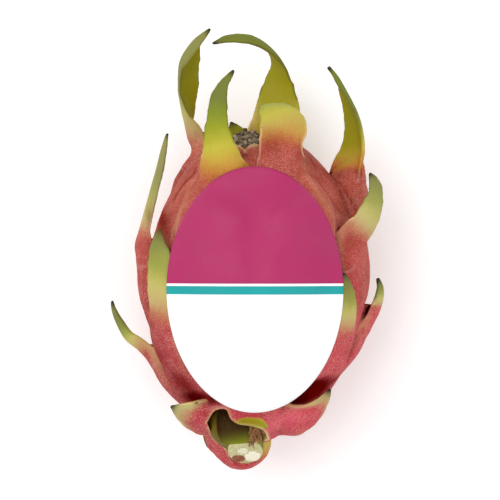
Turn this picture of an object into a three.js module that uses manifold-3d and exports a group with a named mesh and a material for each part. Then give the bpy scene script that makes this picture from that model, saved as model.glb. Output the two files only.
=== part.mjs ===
// A whole dragon fruit lying on its side: the body with its leafy scales, the cut stub of the stem,
// the dried remnant of the flower, and a plain oval sticker. Millimetres, +Z up, +Y towards the flower
// end. Every place below is measured from the body's long axis, and the last lines lift the whole fruit
// so that it lies on its flat spot.
import * as THREE from "three";
import { mergeVertices } from "three/addons/utils/BufferGeometryUtils.js";
import Module from "manifold-3d";

const wasm = await Module();
wasm.setup();

// Driving dimensions
const bodyHalfWidth = 41.3; // the bare body at its widest
const depthShare = 0.95; // its thickness as a share of its width
const flowerReach = 60; // from the widest place to the flower end
const stemReach = 61; // from the widest place to the stem end
const profilePower = 0.57; // 0.5 is an ellipse, and more draws the ends in
const flatDepth = 1.6; // how far the resting side is flattened
const axisHeight = bodyHalfWidth * depthShare - flatDepth; // the body's axis above the surface it lies on
const clearance = 0.35; // between pieces that touch
const stemBend = 4; // how far the stem end curves to the left
const navel = [-2.6, 5]; // x and z of the hollow at the flower end
const navelReach = 11;
const navelDepth = 4.5;

const bodyRings = 20;
const bodySpokes = 30;
const scaleColumns = 4; // faces across a scale
const rowSteps = 2; // faces along a scale between two of its rows
const rootSink = 0.7; // how far a scale's margins sink into the body
const floorGap = 0.5; // between the lowest scales and the surface
const tipThickness = 1;
const marginThinning = 0.6; // how much thinner a scale is along its margins, as a share
const plateShares = [0, 0.35, 0.7, 1]; // where the rows of a plate are, from its foot up
const plateFootShare = 0.4; // half-width of a plate's foot, as a share of its widest
const plateDepth = 2; // how deep a plate reaches into the body
const plateTopDepth = 1.2; // and at the row where the blade leaves it
const hiddenShares = [0.3, 0.62, 0.88, 1]; // where the rows of a hidden blade are
const hiddenLift = 2.6; // how far the foot of a hidden blade stands off the body
const pressedShares = [0.4, 0.75, 1];
const pressedLift = 1.6; // how far a pressed blade stands off the body at its foot
const pressedTipLift = 0.8;
const bladeShare = 0.9; // half-width of a hidden or pressed blade, as a share of its plate's
const bladePower = 0.8;
const bladeTipHalf = 0.6;

const remnantRadius = 6.2;
const remnantDepth = 3.6; // how deep the dried flower sits in its socket
const remnantCentre = [-3.1, 54.2, 9.4];
const remnantLean = 30; // degrees that it faces up from the long axis
const remnantSpokes = 20;
const rimHeight = 3.1; // of the torn rim above the socket's mouth
const shredSpoke = 3; // the spoke where one shred stands up
const shredHeight = 2.2;
const socketFoot = 0.95; // radius of the flower's socket at its foot, as a share of the flower's
const socketMouth = 1.23;
const socketHeight = 14;

const labelHalfWidth = 32.8;
const labelHalfLength = 45.8;
const labelCentre = [-0.5, -1.5];
const labelThickness = 0.6;
const labelLift = 0.55; // between the sheet and the highest place near each spot
const labelReach = 2.4; // how far round a spot the sheet is held up
const labelEase = 12; // square millimetres over which its height is evened out
const labelPress = 0.2; // how far the evening out may sink it
const labelRings = 11;
const labelSpokes = 44;

const degrees = Math.PI / 180;

// ---- the body ------------------------------------------------------------------------------------

// Half-width of the bare body at y along its axis.
function halfWidth(y) {
  const share = y / (y > 0 ? flowerReach : stemReach);
  return bodyHalfWidth * Math.max(0, 1 - share * share) ** profilePower;
}

// How far the body's axis has curved aside at y.
function bendAt(y) {
  return y < 0 ? stemBend * (y / stemReach) ** 2 : 0;
}

// A point of the bare body; turn is in degrees round the axis, from +Z towards +X.
function onBody(y, turn) {
  const w = halfWidth(y);
  return new THREE.Vector3(
    w * Math.sin(turn * degrees) - bendAt(y),
    y,
    depthShare * w * Math.cos(turn * degrees),
  );
}

// The outward normal of the bare body there.
function bodyNormal(y, turn) {
  const step = 0.4;
  const along = onBody(y + step, turn).sub(onBody(y - step, turn));
  const round = onBody(y, turn + step).sub(onBody(y, turn - step));
  return round.cross(along).normalize();
}

// How deep the hollow at the flower end is at x and z.
function hollowAt(x, z) {
  const away = Math.hypot(x - navel[0], z - navel[1]) / navelReach;
  return navelDepth * Math.exp(-(away ** 2));
}

function bodyGeometry() {
  const points = [];
  for (let ring = 1; ring < bodyRings; ring++) {
    const climb = (ring / bodyRings) * Math.PI;
    const y = -Math.cos(climb) * (climb > Math.PI / 2 ? flowerReach : stemReach);
    for (let spoke = 0; spoke < bodySpokes; spoke++) {
      const point = onBody(y, (spoke / bodySpokes) * 360);
      if (y > 0) point.y -= hollowAt(point.x, point.z);
      points.push(point);
    }
  }
  return closedTube(points, bodySpokes, [-stemBend, -stemReach, 0], [0, flowerReach - hollowAt(0, 0), 0]);
}

function middleOf(ring) {
  return ring.reduce((sum, p) => sum.add(p), new THREE.Vector3()).divideScalar(ring.length);
}

// A closed surface through rings of points, with a point at each end.
function closedTube(points, around, first, last) {
  const flat = points.flatMap((p) => p.toArray());
  const rings = points.length / around;
  const faces = [];
  for (let ring = 0; ring < rings - 1; ring++) {
    for (let i = 0; i < around; i++) {
      const a = ring * around + i;
      const b = ring * around + ((i + 1) % around);
      faces.push(a, b, b + around, a, b + around, a + around);
    }
  }
  const firstPole = points.length;
  for (let i = 0; i < around; i++) {
    const j = (i + 1) % around;
    const top = (rings - 1) * around;
    faces.push(firstPole, j, i, firstPole + 1, top + i, top + j);
  }
  return new THREE.BufferGeometry()
    .setAttribute("position", new THREE.Float32BufferAttribute([...flat, ...first, ...last], 3))
    .setIndex(faces);
}

// ---- the scales ----------------------------------------------------------------------------------

// Each scale leaves the body at `at` (y, and degrees round the axis). Below that its plate runs down the
// body for `plate` mm; those without a plate stand on the body where their first row is. `free` are the
// middle points of the blade that stands clear, each with its half-width and the way its outer face
// looks. `cup` is how deep the blade is folded like a gutter, `sink` how far its margins drop, and `deep`
// a thickness other than the blade's own.
const scales = [
  {
    name: "backLeft", at: [46, -118], plate: 22, base: 13, thick: 3.4, cup: 0.75,
    free: [
      { p: [-26, 56, -8], half: 5.2, out: [-0.8, 0, 0.45] },
      { p: [-28.4, 66, -5], half: 4.9, out: [-0.97, 0, -0.22] },
      { p: [-29, 77, -1], half: 5.5, out: [-0.76, 0, -0.65] },
      { p: [-28.2, 86, 4], half: 5.6, out: [-0.82, 0.1, -0.5] },
      { p: [-24, 92.4, 8], half: 3.8, out: [-0.72, 0.55, 0.1] },
      { p: [-17.6, 97.2, 9], half: 0.5, out: [-0.5, 0.7, 0.5] },
    ],
  },
  {
    name: "frontLeft", at: [27, -28], plate: 32, base: 16, thick: 3.4, cup: 0.2,
    free: [
      { p: [-13.8, 37.5, 28], half: 11.8, sink: 6, out: [-0.35, 0.2, 1] },
      { p: [-13.8, 46, 29.8], half: 7.9, sink: 2.6, out: [-0.25, 0.1, 1] },
      { p: [-14.5, 54, 31.4], half: 5.3, sink: 0.6, out: [-0.2, 0.1, 1] },
      { p: [-14.7, 61.4, 32.4], half: 3.9, out: [-0.2, 0.1, 1] },
      { p: [-14.1, 69, 33], half: 3.1, out: [-0.2, 0.2, 1] },
      { p: [-12.1, 75, 33], half: 1.8, out: [-0.3, 0.3, 1] },
      { p: [-8.4, 80, 32.4], half: 0.5, out: [-0.3, 0.4, 1] },
    ],
  },
  {
    name: "backTop", at: [53, 160], plate: 18, base: 9.6, thick: 3.6, cup: 0.32,
    free: [
      { p: [8, 62, -16], half: 8.8, out: [0.1, -0.1, -1] },
      { p: [9, 71, -18], half: 7.4, out: [0.15, 0, -1] },
      { p: [10, 78.5, -17], half: 5.6, out: [0.4, 0.1, -0.9] },
      { p: [10, 84.8, -14], half: 4, out: [0.75, 0.4, -0.5] },
      { p: [5.8, 91, -10], half: 3.2, out: [0.5, 0.8, 0.2] },
      { p: [-1.5, 94.6, -7], half: 2.8, out: [0.2, 0.75, 0.6] },
      { p: [-9.6, 94.8, -5], half: 2.1, out: [0, 0.7, 0.7] },
      { p: [-16.8, 92.4, -4], half: 0.5, out: [0, 0.7, 0.7] },
    ],
  },
  {
    name: "curled", at: [29, 29], plate: 30, base: 15, thick: 3.6, cup: 0.16,
    free: [
      { p: [11.8, 38.5, 27.6], half: 12, sink: 5, out: [0.35, 0.2, 1] },
      { p: [9.9, 46.6, 28.4], half: 8.8, sink: 2, out: [0.2, 0.1, 1] },
      { p: [9.5, 53, 28.2], half: 7.8, sink: 0.6, out: [0.12, 0.12, 1] },
      { p: [10.4, 60, 27.4], half: 8.4, sink: 0.8, out: [0.1, 0.4, 0.9] },
      { p: [8.7, 66, 23], half: 7.6, sink: 0.6, out: [0, 0.9, 0.5] },
      { p: [7.4, 68.4, 16.4], half: 6, sink: 0.4, out: [0, 1, -0.1] },
      { p: [9.4, 66.6, 9.4], half: 3, out: [0.1, 1, -0.3] },
      { p: [11.6, 64, 5], half: 0.7, out: [0.1, 1, -0.3] },
    ],
  },
  {
    name: "rightUpper", at: [31, 98], plate: 26, base: 11, thick: 5, cup: 0.62,
    free: [
      { p: [38.1, 42, -3], half: 7.6, sink: 0.8, deep: 3.4, out: [0.72, 0, -0.68] },
      { p: [40.3, 51.5, -4], half: 6.8, deep: 2.7, out: [0.82, 0, -0.57] },
      { p: [40, 59.5, -4.6], half: 5.6, deep: 2.4, out: [0.86, 0.05, -0.48] },
      { p: [38, 67, -5], half: 4.4, deep: 2.1, out: [0.88, 0.15, -0.35] },
      { p: [35, 73.4, -5], half: 3.4, deep: 1.8, out: [0.85, 0.3, -0.15] },
      { p: [31.9, 79, -5], half: 2.2, deep: 1.5, out: [0.8, 0.45, 0.15] },
      { p: [28.1, 83.8, -5], half: 0.5, out: [0.75, 0.5, 0.2] },
    ],
  },
  {
    name: "rightWeb", at: [22, 76], plate: 20, base: 8, thick: 3.4, cup: 0.12,
    free: [
      { p: [37, 28, 10.2], half: 4.6, sink: 0.8, deep: 7, out: [0.1, 0, 1] },
      { p: [35.7, 33, 9.2], half: 5.6, sink: 0.3, deep: 7, out: [-0.05, 0.1, 1] },
      { p: [34, 38, 7.2], half: 6.9, sink: 0.1, deep: 6, out: [-0.14, 0.25, 0.96] },
      { p: [33.5, 42, 4.2], half: 7.3, deep: 4, out: [-0.36, 0.5, 0.8] },
      { p: [34.5, 45.4, 0.4], half: 6.6, deep: 2.6, out: [-0.55, 0.5, 0.66] },
      { p: [36, 48.6, -2.6], half: 5.4, deep: 1.4, out: [-0.66, 0.3, 0.7] },
    ],
  },
  {
    name: "right", at: [8, 64], plate: 32, base: 14, thick: 3.4, cup: 0.2,
    free: [
      { p: [37.6, 16, 21.4], half: 7.8, sink: 1.8, out: [0.62, -0.15, 0.78] },
      { p: [41.8, 24, 21.2], half: 5.2, out: [0.52, -0.2, 0.85] },
      { p: [44.3, 30.5, 19.4], half: 4, out: [0.4, -0.1, 0.9] },
      { p: [45.2, 35.6, 18.4], half: 2.8, out: [0.4, 0.1, 0.9] },
      { p: [44.5, 39.4, 17], half: 2, out: [0.4, 0.3, 0.9] },
      { p: [42.7, 42.5, 16], half: 0.6, out: [0.4, 0.3, 0.9] },
    ],
  },
  {
    name: "rightLow", at: [-17, 96], plate: 24, base: 12, thick: 3.8, cup: 0.6,
    free: [
      { p: [46.7, -11, -1], half: 5.6, out: [1, -0.1, 0.1] },
      { p: [48.4, -5.6, 0], half: 4.6, out: [1, 0, 0.1] },
      { p: [48.5, -1, 0.6], half: 3.2, out: [1, 0.2, 0.15] },
      { p: [46.8, 3, 1], half: 1, out: [0.9, 0.4, 0.15] },
    ],
  },
  {
    name: "lowWeb", at: [-20, 86], plate: 14, base: 5, thick: 2.6, cup: 0.2,
    free: [
      { p: [42.6, -15, 3], half: 3.6, sink: 0.4, deep: 4, out: [0.8, -0.1, 0.6] },
      { p: [42.6, -11, 0.4], half: 3, deep: 4, out: [0.5, -0.5, 0.7] },
      { p: [42.4, -9.4, -4], half: 2, deep: 2, out: [0.2, -0.9, 0.3] },
    ],
  },
  {
    name: "rightFront", at: [-24, 52], plate: 26, base: 11, thick: 2.8, cup: 0.2,
    free: [
      { p: [33, -14, 28.2], half: 7, sink: 1, out: [0.6, 0, 0.8] },
      { p: [33.4, -6.5, 29.2], half: 5.8, out: [0.6, 0, 0.8] },
      { p: [33.3, 0, 29.2], half: 3.8, out: [0.6, 0.1, 0.8] },
      { p: [32.9, 5, 28.8], half: 0.6, out: [0.6, 0.1, 0.8] },
    ],
  },
  {
    name: "left", at: [7, -98], plate: 34, base: 15, thick: 4.4, cup: 0.7,
    free: [
      { p: [-46.3, 14.5, -5], half: 8, sink: 1, out: [-1, -0.15, 0] },
      { p: [-44.5, 22, -5.6], half: 4.6, deep: 2.2, out: [-1, -0.1, 0.15] },
      { p: [-42.6, 28.5, -6], half: 3.3, deep: 1.7, out: [-0.9, 0, 0.32] },
      { p: [-40.5, 36, -6], half: 2.8, deep: 1.5, out: [-0.9, 0, 0.36] },
      { p: [-38.2, 44, -5], half: 2.5, deep: 1.4, out: [-0.9, 0, 0.38] },
      { p: [-36.3, 51.6, -4], half: 1.9, deep: 1.3, out: [-0.9, 0, 0.4] },
      { p: [-34.4, 58.2, -4], half: 0.5, out: [-0.9, 0, 0.4] },
    ],
  },
  {
    name: "leftFront", at: [-18, -60], plate: 26, base: 11, thick: 2.8, cup: 0.2,
    free: [
      { p: [-36, -8, 24.6], half: 7, sink: 1, out: [-0.6, 0, 0.8] },
      { p: [-36, 1, 26], half: 6.4, out: [-0.55, 0, 0.85] },
      { p: [-36.4, 9, 26.5], half: 5.2, out: [-0.55, 0.1, 0.85] },
      { p: [-36.9, 15.6, 25.6], half: 3.3, out: [-0.5, 0.2, 0.85] },
      { p: [-36, 21.5, 24.5], half: 0.5, out: [-0.5, 0.2, 0.85] },
    ],
  },
  {
    name: "leftLow", at: [-30, -98], plate: 24, base: 12, thick: 3.8, cup: 0.55,
    free: [
      { p: [-44.6, -25.4, -4.5], half: 6, out: [-0.7, -0.7, 0.1] },
      { p: [-50, -20.8, -5], half: 4.4, out: [-0.75, -0.65, 0.2] },
      { p: [-53.3, -14.9, -4.6], half: 3.4, out: [-0.9, -0.45, 0.2] },
      { p: [-55.1, -9.6, -4], half: 1.8, out: [-1, -0.25, 0.2] },
      { p: [-55.5, -6.1, -3.4], half: 0.5, out: [-1, -0.2, 0.2] },
    ],
  },
  {
    name: "stemLeft", thick: 4, cup: 0.28, base: 9,
    free: [
      { p: [-11.5, -51.6, 11], half: 9, out: [-0.2, -0.55, 0.85] },
      { p: [-17.5, -51.8, 14], half: 10, out: [-0.3, -0.6, 0.8] },
      { p: [-23.6, -50.4, 15.4], half: 8.2, out: [-0.4, -0.6, 0.75] },
      { p: [-28.6, -48.2, 16], half: 4.8, out: [-0.45, -0.6, 0.75] },
      { p: [-32.4, -45.6, 15.6], half: 0.6, out: [-0.45, -0.6, 0.75] },
    ],
  },
  {
    name: "stemRight", thick: 4.4, cup: 0.25, base: 9,
    free: [
      { p: [3.4, -53.6, 9], half: 7.6, out: [0.2, -0.6, 0.8] },
      { p: [10.4, -52.7, 13.2], half: 9.3, out: [0.3, -0.6, 0.8] },
      { p: [17.1, -51.3, 15.4], half: 7.3, out: [0.4, -0.6, 0.8] },
      { p: [22.4, -48, 16.4], half: 4.8, out: [0.45, -0.6, 0.75] },
      { p: [26, -43.5, 17.1], half: 2.6, out: [0.5, -0.55, 0.75] },
      { p: [28.2, -39, 17], half: 0.6, out: [0.5, -0.55, 0.75] },
    ],
  },
  {
    name: "socketLip", thick: 3, cup: 0.2, base: 8,
    free: [
      { p: [-1, -39.5, 23.8], half: 6.6, sink: 2, out: [0, -0.3, 1] },
      { p: [-1.8, -45, 22.9], half: 7.2, sink: 0.8, out: [0, -0.4, 1] },
      { p: [-2.6, -50.4, 20.8], half: 6.9, sink: 0.5, out: [0, -0.6, 0.9] },
      { p: [-2.7, -54.6, 17.6], half: 6.4, sink: 0.3, out: [0, -0.8, 0.7] },
    ],
  },
  {
    name: "rimWall", thick: 5, cup: 0.12, base: 3,
    free: [
      { p: [-18.8, -50.5, 0.6], half: 4.6, out: [-0.9, -0.15, 0.4] },
      { p: [-18.6, -55, 2.6], half: 5.2, out: [-0.85, -0.25, 0.5] },
      { p: [-16.8, -58.8, 4.2], half: 6, out: [-0.7, -0.45, 0.62] },
      { p: [-13, -63, 4.2], half: 6, out: [-0.52, -0.6, 0.64] },
      { p: [-8.9, -67.4, 2.6], half: 4.8, out: [-0.28, -0.78, 0.6] },
      { p: [-4.8, -69.4, 1.4], half: 3.6, out: [0.05, -0.92, 0.4] },
      { p: [0, -68, 1.2], half: 3.4, out: [0.46, -0.82, 0.34] },
      { p: [2.9, -64.6, 1.8], half: 4.2, out: [0.8, -0.4, 0.44] },
      { p: [3.9, -60, 2.4], half: 4.8, out: [0.86, -0.1, 0.5] },
      { p: [4.2, -56, 2.4], half: 4, out: [0.9, 0, 0.4] },
    ],
  },
  {
    name: "collar", at: [-46, 188], plate: -10, base: 14, thick: 3, cup: 0.55,
    free: [
      { p: [-9.6, -56, -15.4], half: 12.4, sink: 3, out: [-0.1, -0.3, -0.95] },
      { p: [-9.2, -62.4, -12], half: 11, sink: 4.4, out: [-0.1, -0.5, -0.85] },
      { p: [-8.2, -67, -8.2], half: 9.6, sink: 3.4, out: [-0.1, -0.7, -0.7] },
      { p: [-6.9, -69.4, -4.6], half: 7.4, sink: 2, out: [-0.1, -0.85, -0.5] },
      { p: [-5.8, -70.2, -2], half: 5, out: [-0.1, -1, -0.1] },
    ],
  },
  {
    name: "stemBack", thick: 2.8, cup: 0.2, base: 6,
    free: [
      { p: [-16, -48, -9], half: 5, out: [-0.6, -0.5, -0.6] },
      { p: [-19.4, -55.5, -8.2], half: 3, out: [-0.7, -0.4, -0.5] },
      { p: [-18.7, -62.4, -7], half: 0.7, out: [-0.7, -0.3, -0.5] },
    ],
  },
  {
    name: "apexLeft", thick: 3, cup: 0.25, base: 4,
    free: [
      { p: [-10, 42, 26], half: 4.2, sink: 2, out: [-0.1, 0.5, 0.9] },
      { p: [-8.9, 48.6, 22], half: 4, sink: 1, out: [-0.05, 0.6, 0.8] },
      { p: [-7.2, 52.9, 18], half: 3.6, out: [0, 0.7, 0.7] },
    ],
  },
  {
    name: "apexRight", thick: 3, cup: 0.25, base: 4,
    free: [
      { p: [2, 42, 26.8], half: 4.6, sink: 2, out: [0.1, 0.5, 0.9] },
      { p: [0.7, 48.6, 22.2], half: 4.3, sink: 1, out: [0.05, 0.6, 0.8] },
      { p: [-1, 53.2, 18], half: 3.8, out: [0, 0.7, 0.7] },
    ],
  },
  {
    name: "apexBack", thick: 2.4, cup: 0.25, base: 5,
    free: [
      { p: [-6.4, 52, 0], half: 5, out: [-0.4, 0.5, -0.7] },
      { p: [-8, 57.6, 0.6], half: 3.4, out: [-0.4, 0.5, -0.7] },
      { p: [-9.8, 62, 2], half: 0.6, out: [-0.4, 0.5, -0.7] },
    ],
  },
];

// The scales of the hidden side follow a rule: `grow` is the blade's length, `spread` how far it opens.
const hiddenScales = [
  { name: "underTop", at: [32, 152], plate: 20, base: 12, grow: 24, spread: 14, lean: 4 },
  { name: "underTopLeft", at: [24, -150], plate: 22, base: 13, grow: 26, spread: 12, lean: -5 },
  { name: "underRight", at: [6, 130], plate: 24, base: 14, grow: 25, spread: 22, lean: 5 },
  { name: "underLeft", at: [-8, -134], plate: 24, base: 14, grow: 23, spread: 20, lean: -4 },
  { name: "underLow", at: [-24, 148], plate: 20, base: 13, grow: 18, spread: 12, lean: 4 },
  { name: "underLowLeft", at: [-40, -146], plate: 14, base: 10, grow: 15, spread: 20, lean: -3 },
  { name: "underStem", at: [-46, 124], plate: 10, base: 10, grow: 12, spread: 14, lean: 2 },
];

// The sticker holds these flat against the body, so only their relief shows.
const pressedScales = [
  { name: "pressedLeft", at: [4, -20], plate: 26, base: 14, grow: 22 },
  { name: "pressedRight", at: [0, 18], plate: 24, base: 14, grow: 20 },
  { name: "pressedLowLeft", at: [-30, -16], plate: 16, base: 13, grow: 20 },
  { name: "pressedLowRight", at: [-32, 22], plate: 14, base: 12, grow: 18 },
];

// The blade of a hidden scale: it follows the body, opens by its spread and leans to one side.
function grownBlade({ at: [y, turn], base, grow, spread, lean }) {
  const out = bodyNormal(y, turn);
  const start = onBody(y, turn);
  const up = onBody(y + 1, turn).sub(start).normalize();
  const side = up.clone().cross(out);
  return hiddenShares.map((share) => {
    const p = start
      .clone()
      .addScaledVector(up, Math.cos(spread * degrees) * grow * share)
      .addScaledVector(out, hiddenLift + Math.sin(spread * degrees) * grow * share)
      .addScaledVector(side, lean * share * share);
    return { p: p.toArray(), half: bladeHalf(base, share), out: out.toArray() };
  });
}

// The blade of a pressed scale: it lies on the body and thins towards its tip.
function pressedBlade({ at: [y, turn], base, grow }) {
  return pressedShares.map((share) => {
    const out = bodyNormal(y + grow * share, turn);
    const lift = pressedLift + (pressedTipLift - pressedLift) * share;
    const p = onBody(y + grow * share, turn).addScaledVector(out, lift);
    return { p: p.toArray(), half: bladeHalf(base, share), out: out.toArray() };
  });
}

function bladeHalf(base, share) {
  return Math.max(bladeTipHalf, base * bladeShare * (1 - share) ** bladePower);
}

// The rows of a scale from the foot of its plate to its tip: middle point, outward way, half-width,
// how far the margins fall, and thickness.
function scaleRows(scale) {
  const rows = scale.at ? plateRows(scale) : [];
  for (const { p, half, out, sink = 0, deep } of scale.free) {
    rows.push({
      middle: new THREE.Vector3(...p),
      out: new THREE.Vector3(...out).normalize(),
      half,
      sag: scale.cup * half,
      sink,
      thick: deep ?? Math.max(tipThickness, scale.thick * Math.min(1, 0.3 + half / scale.base)),
    });
  }
  return rows;
}

function plateRows({ at: [y, turn], plate, base, thick }) {
  const rows = plateShares.map((climb) => {
    const down = y - plate * (1 - climb);
    const rise = climb * climb * (3 - 2 * climb);
    const half = base * (plateFootShare + (1 - plateFootShare) * Math.sin((climb * Math.PI) / 2));
    const lift = (thick + rootSink) * rise - rootSink;
    const radius = Math.max(halfWidth(down), half * 1.1);
    return {
      middle: onBody(down, turn).addScaledVector(bodyNormal(down, turn), lift),
      out: bodyNormal(down, turn),
      half,
      sag: (half * half) / (2 * radius),
      sink: Math.max(0, lift) + rootSink,
      thick: lift + rootSink + plateDepth,
    };
  });
  rows.at(-1).thick = thick + plateTopDepth;
  return rows;
}

// The rows with more between them, on smooth curves.
function smoothRows(rows) {
  const through = (pick) => new THREE.CatmullRomCurve3(rows.map(pick));
  const middles = through((row) => row.middle);
  const outs = through((row) => row.out);
  const widths = through((row) => new THREE.Vector3(row.half, row.sag, row.sink));
  const depths = through((row) => new THREE.Vector3(row.thick, 0, 0));
  const last = (rows.length - 1) * rowSteps;
  return Array.from({ length: last + 1 }, (_, i) => {
    const [half, sag, sink] = widths.getPoint(i / last).toArray();
    return {
      middle: middles.getPoint(i / last),
      along: middles.getTangent(i / last),
      out: outs.getPoint(i / last),
      thick: depths.getPoint(i / last).x,
      half,
      sag,
      sink,
    };
  });
}

// The closed solid of a scale: an outer and an inner skin that meet along its margins.
function scaleGeometry(scale) {
  const rings = smoothRows(scaleRows(scale)).map((row) => {
    const out = row.out.clone().addScaledVector(row.along, -row.out.dot(row.along)).normalize();
    const side = row.along.clone().cross(out);
    const outer = [];
    const inner = [];
    for (let column = 0; column <= scaleColumns; column++) {
      const q = (2 * column) / scaleColumns - 1;
      const fall = row.sag * q * q + row.sink * Math.abs(q) ** 3;
      const skin = row.middle
        .clone()
        .addScaledVector(side, q * row.half)
        .addScaledVector(out, -fall);
      const thick = row.thick * (1 - marginThinning * Math.abs(q) ** 2.5);
      outer.push(skin);
      inner.unshift(skin.clone().addScaledVector(out, -thick));
    }
    return aboveFloor([...outer, ...inner]);
  });
  return closedTube(
    rings.flat(),
    rings[0].length,
    middleOf(rings[0]).toArray(),
    middleOf(rings.at(-1)).toArray(),
  );
}

// Lifts a ring of points clear of the surface that the fruit lies on.
function aboveFloor(ring) {
  const lowest = Math.min(...ring.map((p) => p.z));
  const floor = -axisHeight + floorGap;
  const lift = Math.max(0, floor - lowest);
  return ring.map((p) => p.clone().setZ(p.z + lift));
}

// ---- joining and cutting -------------------------------------------------------------------------

function solidOf(geometry) {
  const bare = geometry.clone();
  bare.deleteAttribute("normal");
  bare.deleteAttribute("uv");
  const merged = mergeVertices(bare, 1e-4);
  const solid = new wasm.Manifold(
    new wasm.Mesh({
      numProp: 3,
      vertProperties: merged.attributes.position.array,
      triVerts: new Uint32Array(merged.index.array),
    }),
  );
  if (solid.volume() > 0) return solid;
  const turned = merged.index.array.slice();
  for (let i = 0; i < turned.length; i += 3) [turned[i + 1], turned[i + 2]] = [turned[i + 2], turned[i + 1]];
  return new wasm.Manifold(
    new wasm.Mesh({
      numProp: 3,
      vertProperties: merged.attributes.position.array,
      triVerts: new Uint32Array(turned),
    }),
  );
}

function geometryOf(solid) {
  const mesh = solid.getMesh();
  const geometry = new THREE.BufferGeometry()
    .setAttribute("position", new THREE.BufferAttribute(mesh.vertProperties.slice(), 3))
    .setIndex(new THREE.BufferAttribute(mesh.triVerts.slice(), 1));
  geometry.computeVertexNormals();
  return geometry;
}

// The fruit is one solid, with sockets for the stub and the dried flower and a flat spot to lie on.
function fruitSolid() {
  let solid = solidOf(bodyGeometry());
  const grown = hiddenScales.map((s) => ({ thick: 3, cup: 0.25, ...s, free: grownBlade(s) }));
  const pressed = pressedScales.map((s) => ({ thick: 1.8, cup: 0.12, ...s, free: pressedBlade(s) }));
  for (const scale of [...scales, ...grown, ...pressed]) solid = solid.add(solidOf(scaleGeometry(scale)));
  const slab = new THREE.BoxGeometry(200, 200, 20).translate(0, 0, -axisHeight - 10);
  return solid
    .subtract(solidOf(stubGeometry(socketGap)))
    .subtract(solidOf(stubGeometry(clearance)))
    .subtract(solidOf(notchGeometry()))
    .subtract(solidOf(remnantSocket()))
    .subtract(solidOf(slab));
}

// ---- the stub of the stem ------------------------------------------------------------------------

// Each section of the stub: where it is, the way it looks, its half-width and half-height.
const stubSections = [
  { p: [-7.6, -44, 3.6], look: [0.04, -1, 0.02], wide: 8.6, tall: 7.4 },
  { p: [-7.8, -49.5, 4.6], look: [0.08, -1, 0.05], wide: 10, tall: 8.6 },
  { p: [-7.4, -54.6, 5.2], look: [0.16, -1, 0.1], wide: 10, tall: 8.6 },
  { p: [-5.9, -58.4, 5.6], look: [0.2, -1, 0.2], wide: 8.6, tall: 8.3 },
  { p: [-4.4, -61.2, 5.8], look: [0.1, -1, 0.36], wide: 6.9, tall: 8 },
  { p: [-4, -63.4, 6], look: [0.08, -0.8, 0.58], wide: 6.5, tall: 8 },
];
// The outline of a section, as shares of its half-width and half-height; three blunt ribs.
const stubOutline = [
  [-0.98, 0.1], [-0.9, 0.5], [-0.62, 0.92], [-0.4, 1], [0, 0.94], [0.45, 0.86], [0.8, 0.62], [1, 0.2],
  [0.98, -0.25], [0.78, -0.62], [0.45, -0.86], [0, -1], [-0.45, -0.88], [-0.8, -0.56],
];
const socketGap = 0.7; // how far the socket's mouth stands clear of the stub
const cutterFoot = 1; // how far a cutter runs on past the stub's foot
const cutterReach = 5; // and past its cut end
const notchHeight = 30;
// The notch in the rim of the socket, seen from above, through which the stub shows.
const notch = [
  [-18.5, -51.5], [-15.4, -46.8], [-11.3, -46.2], [-9.4, -50], [-6.8, -51.8], [-1.9, -52.6],
  [2.6, -54.3], [4, -57], [4.4, -63], [2, -69], [-3, -70.4], [-6.6, -68.6], [-9.4, -66.2],
  [-10.2, -63.4], [-12, -60.6], [-14.8, -58.8], [-16.6, -56.4],
];

function notchGeometry() {
  const outline = new THREE.Shape(notch.map(([x, y]) => new THREE.Vector2(x, y)));
  const block = new THREE.ExtrudeGeometry(outline, { depth: notchHeight, bevelEnabled: false });
  return block.translate(0, 0, stubSections[1].p[2] + 2);
}

// The stub, or the cutter for its socket when it is grown by a gap.
function stubGeometry(gap) {
  const mouthOnly = gap === socketGap;
  const sections = mouthOnly ? stubSections.slice(1) : stubSections;
  const rings = sections.map((section) => stubRing(section, gap, 0));
  if (gap > 0) {
    rings[0] = stubRing(sections[0], gap, -cutterFoot);
    rings.push(stubRing(sections.at(-1), gap, cutterReach));
  }
  return closedTube(
    rings.flat(),
    stubOutline.length,
    middleOf(rings[0]).toArray(),
    middleOf(rings.at(-1)).toArray(),
  );
}

// The outline of one section, grown by a gap and moved beyond its place.
function stubRing({ p, look, wide, tall }, gap, beyond) {
  const way = new THREE.Vector3(...look).normalize();
  const side = way.clone().cross(new THREE.Vector3(0, 0, 1)).normalize();
  const up = side.clone().cross(way);
  return stubOutline.map(([a, b]) =>
    new THREE.Vector3(...p)
      .addScaledVector(side, -a * (wide + gap))
      .addScaledVector(up, b * (tall + gap))
      .addScaledVector(way, beyond),
  );
}

// ---- the dried flower ----------------------------------------------------------------------------

// Height of the torn rim at one of its spokes; one shred stands up.
function tornHeight(spoke) {
  const shred = spoke === shredSpoke ? shredHeight : 0;
  return rimHeight + 0.7 * Math.sin(2.3 * spoke) + 0.6 * Math.sin(5.1 * spoke + 1) + shred;
}

// A low crown whose rim is torn and whose middle is sunk and rough.
function remnantGeometry() {
  const points = [];
  const ring = (share, height) => {
    for (let i = 0; i < remnantSpokes; i++) {
      const angle = (i / remnantSpokes) * 2 * Math.PI;
      const uneven = 1 + 0.06 * Math.sin(3 * angle + 1) + 0.04 * Math.sin(7 * angle);
      const reach = share * remnantRadius * uneven;
      points.push(new THREE.Vector3(reach * Math.cos(angle), reach * Math.sin(angle), height(i)));
    }
  };
  ring(0.8, () => -remnantDepth);
  ring(0.94, () => -1);
  ring(1, tornHeight);
  ring(0.78, (i) => tornHeight(i) - 0.4);
  ring(0.62, (i) => 0.2 + 0.3 * tornHeight(i));
  ring(0.34, (i) => 0.8 + 0.5 * tornHeight(3 * i + 2));
  return faced(closedTube(points, remnantSpokes, [0, 0, -remnantDepth], [0, 0, 1.2]));
}

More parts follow.
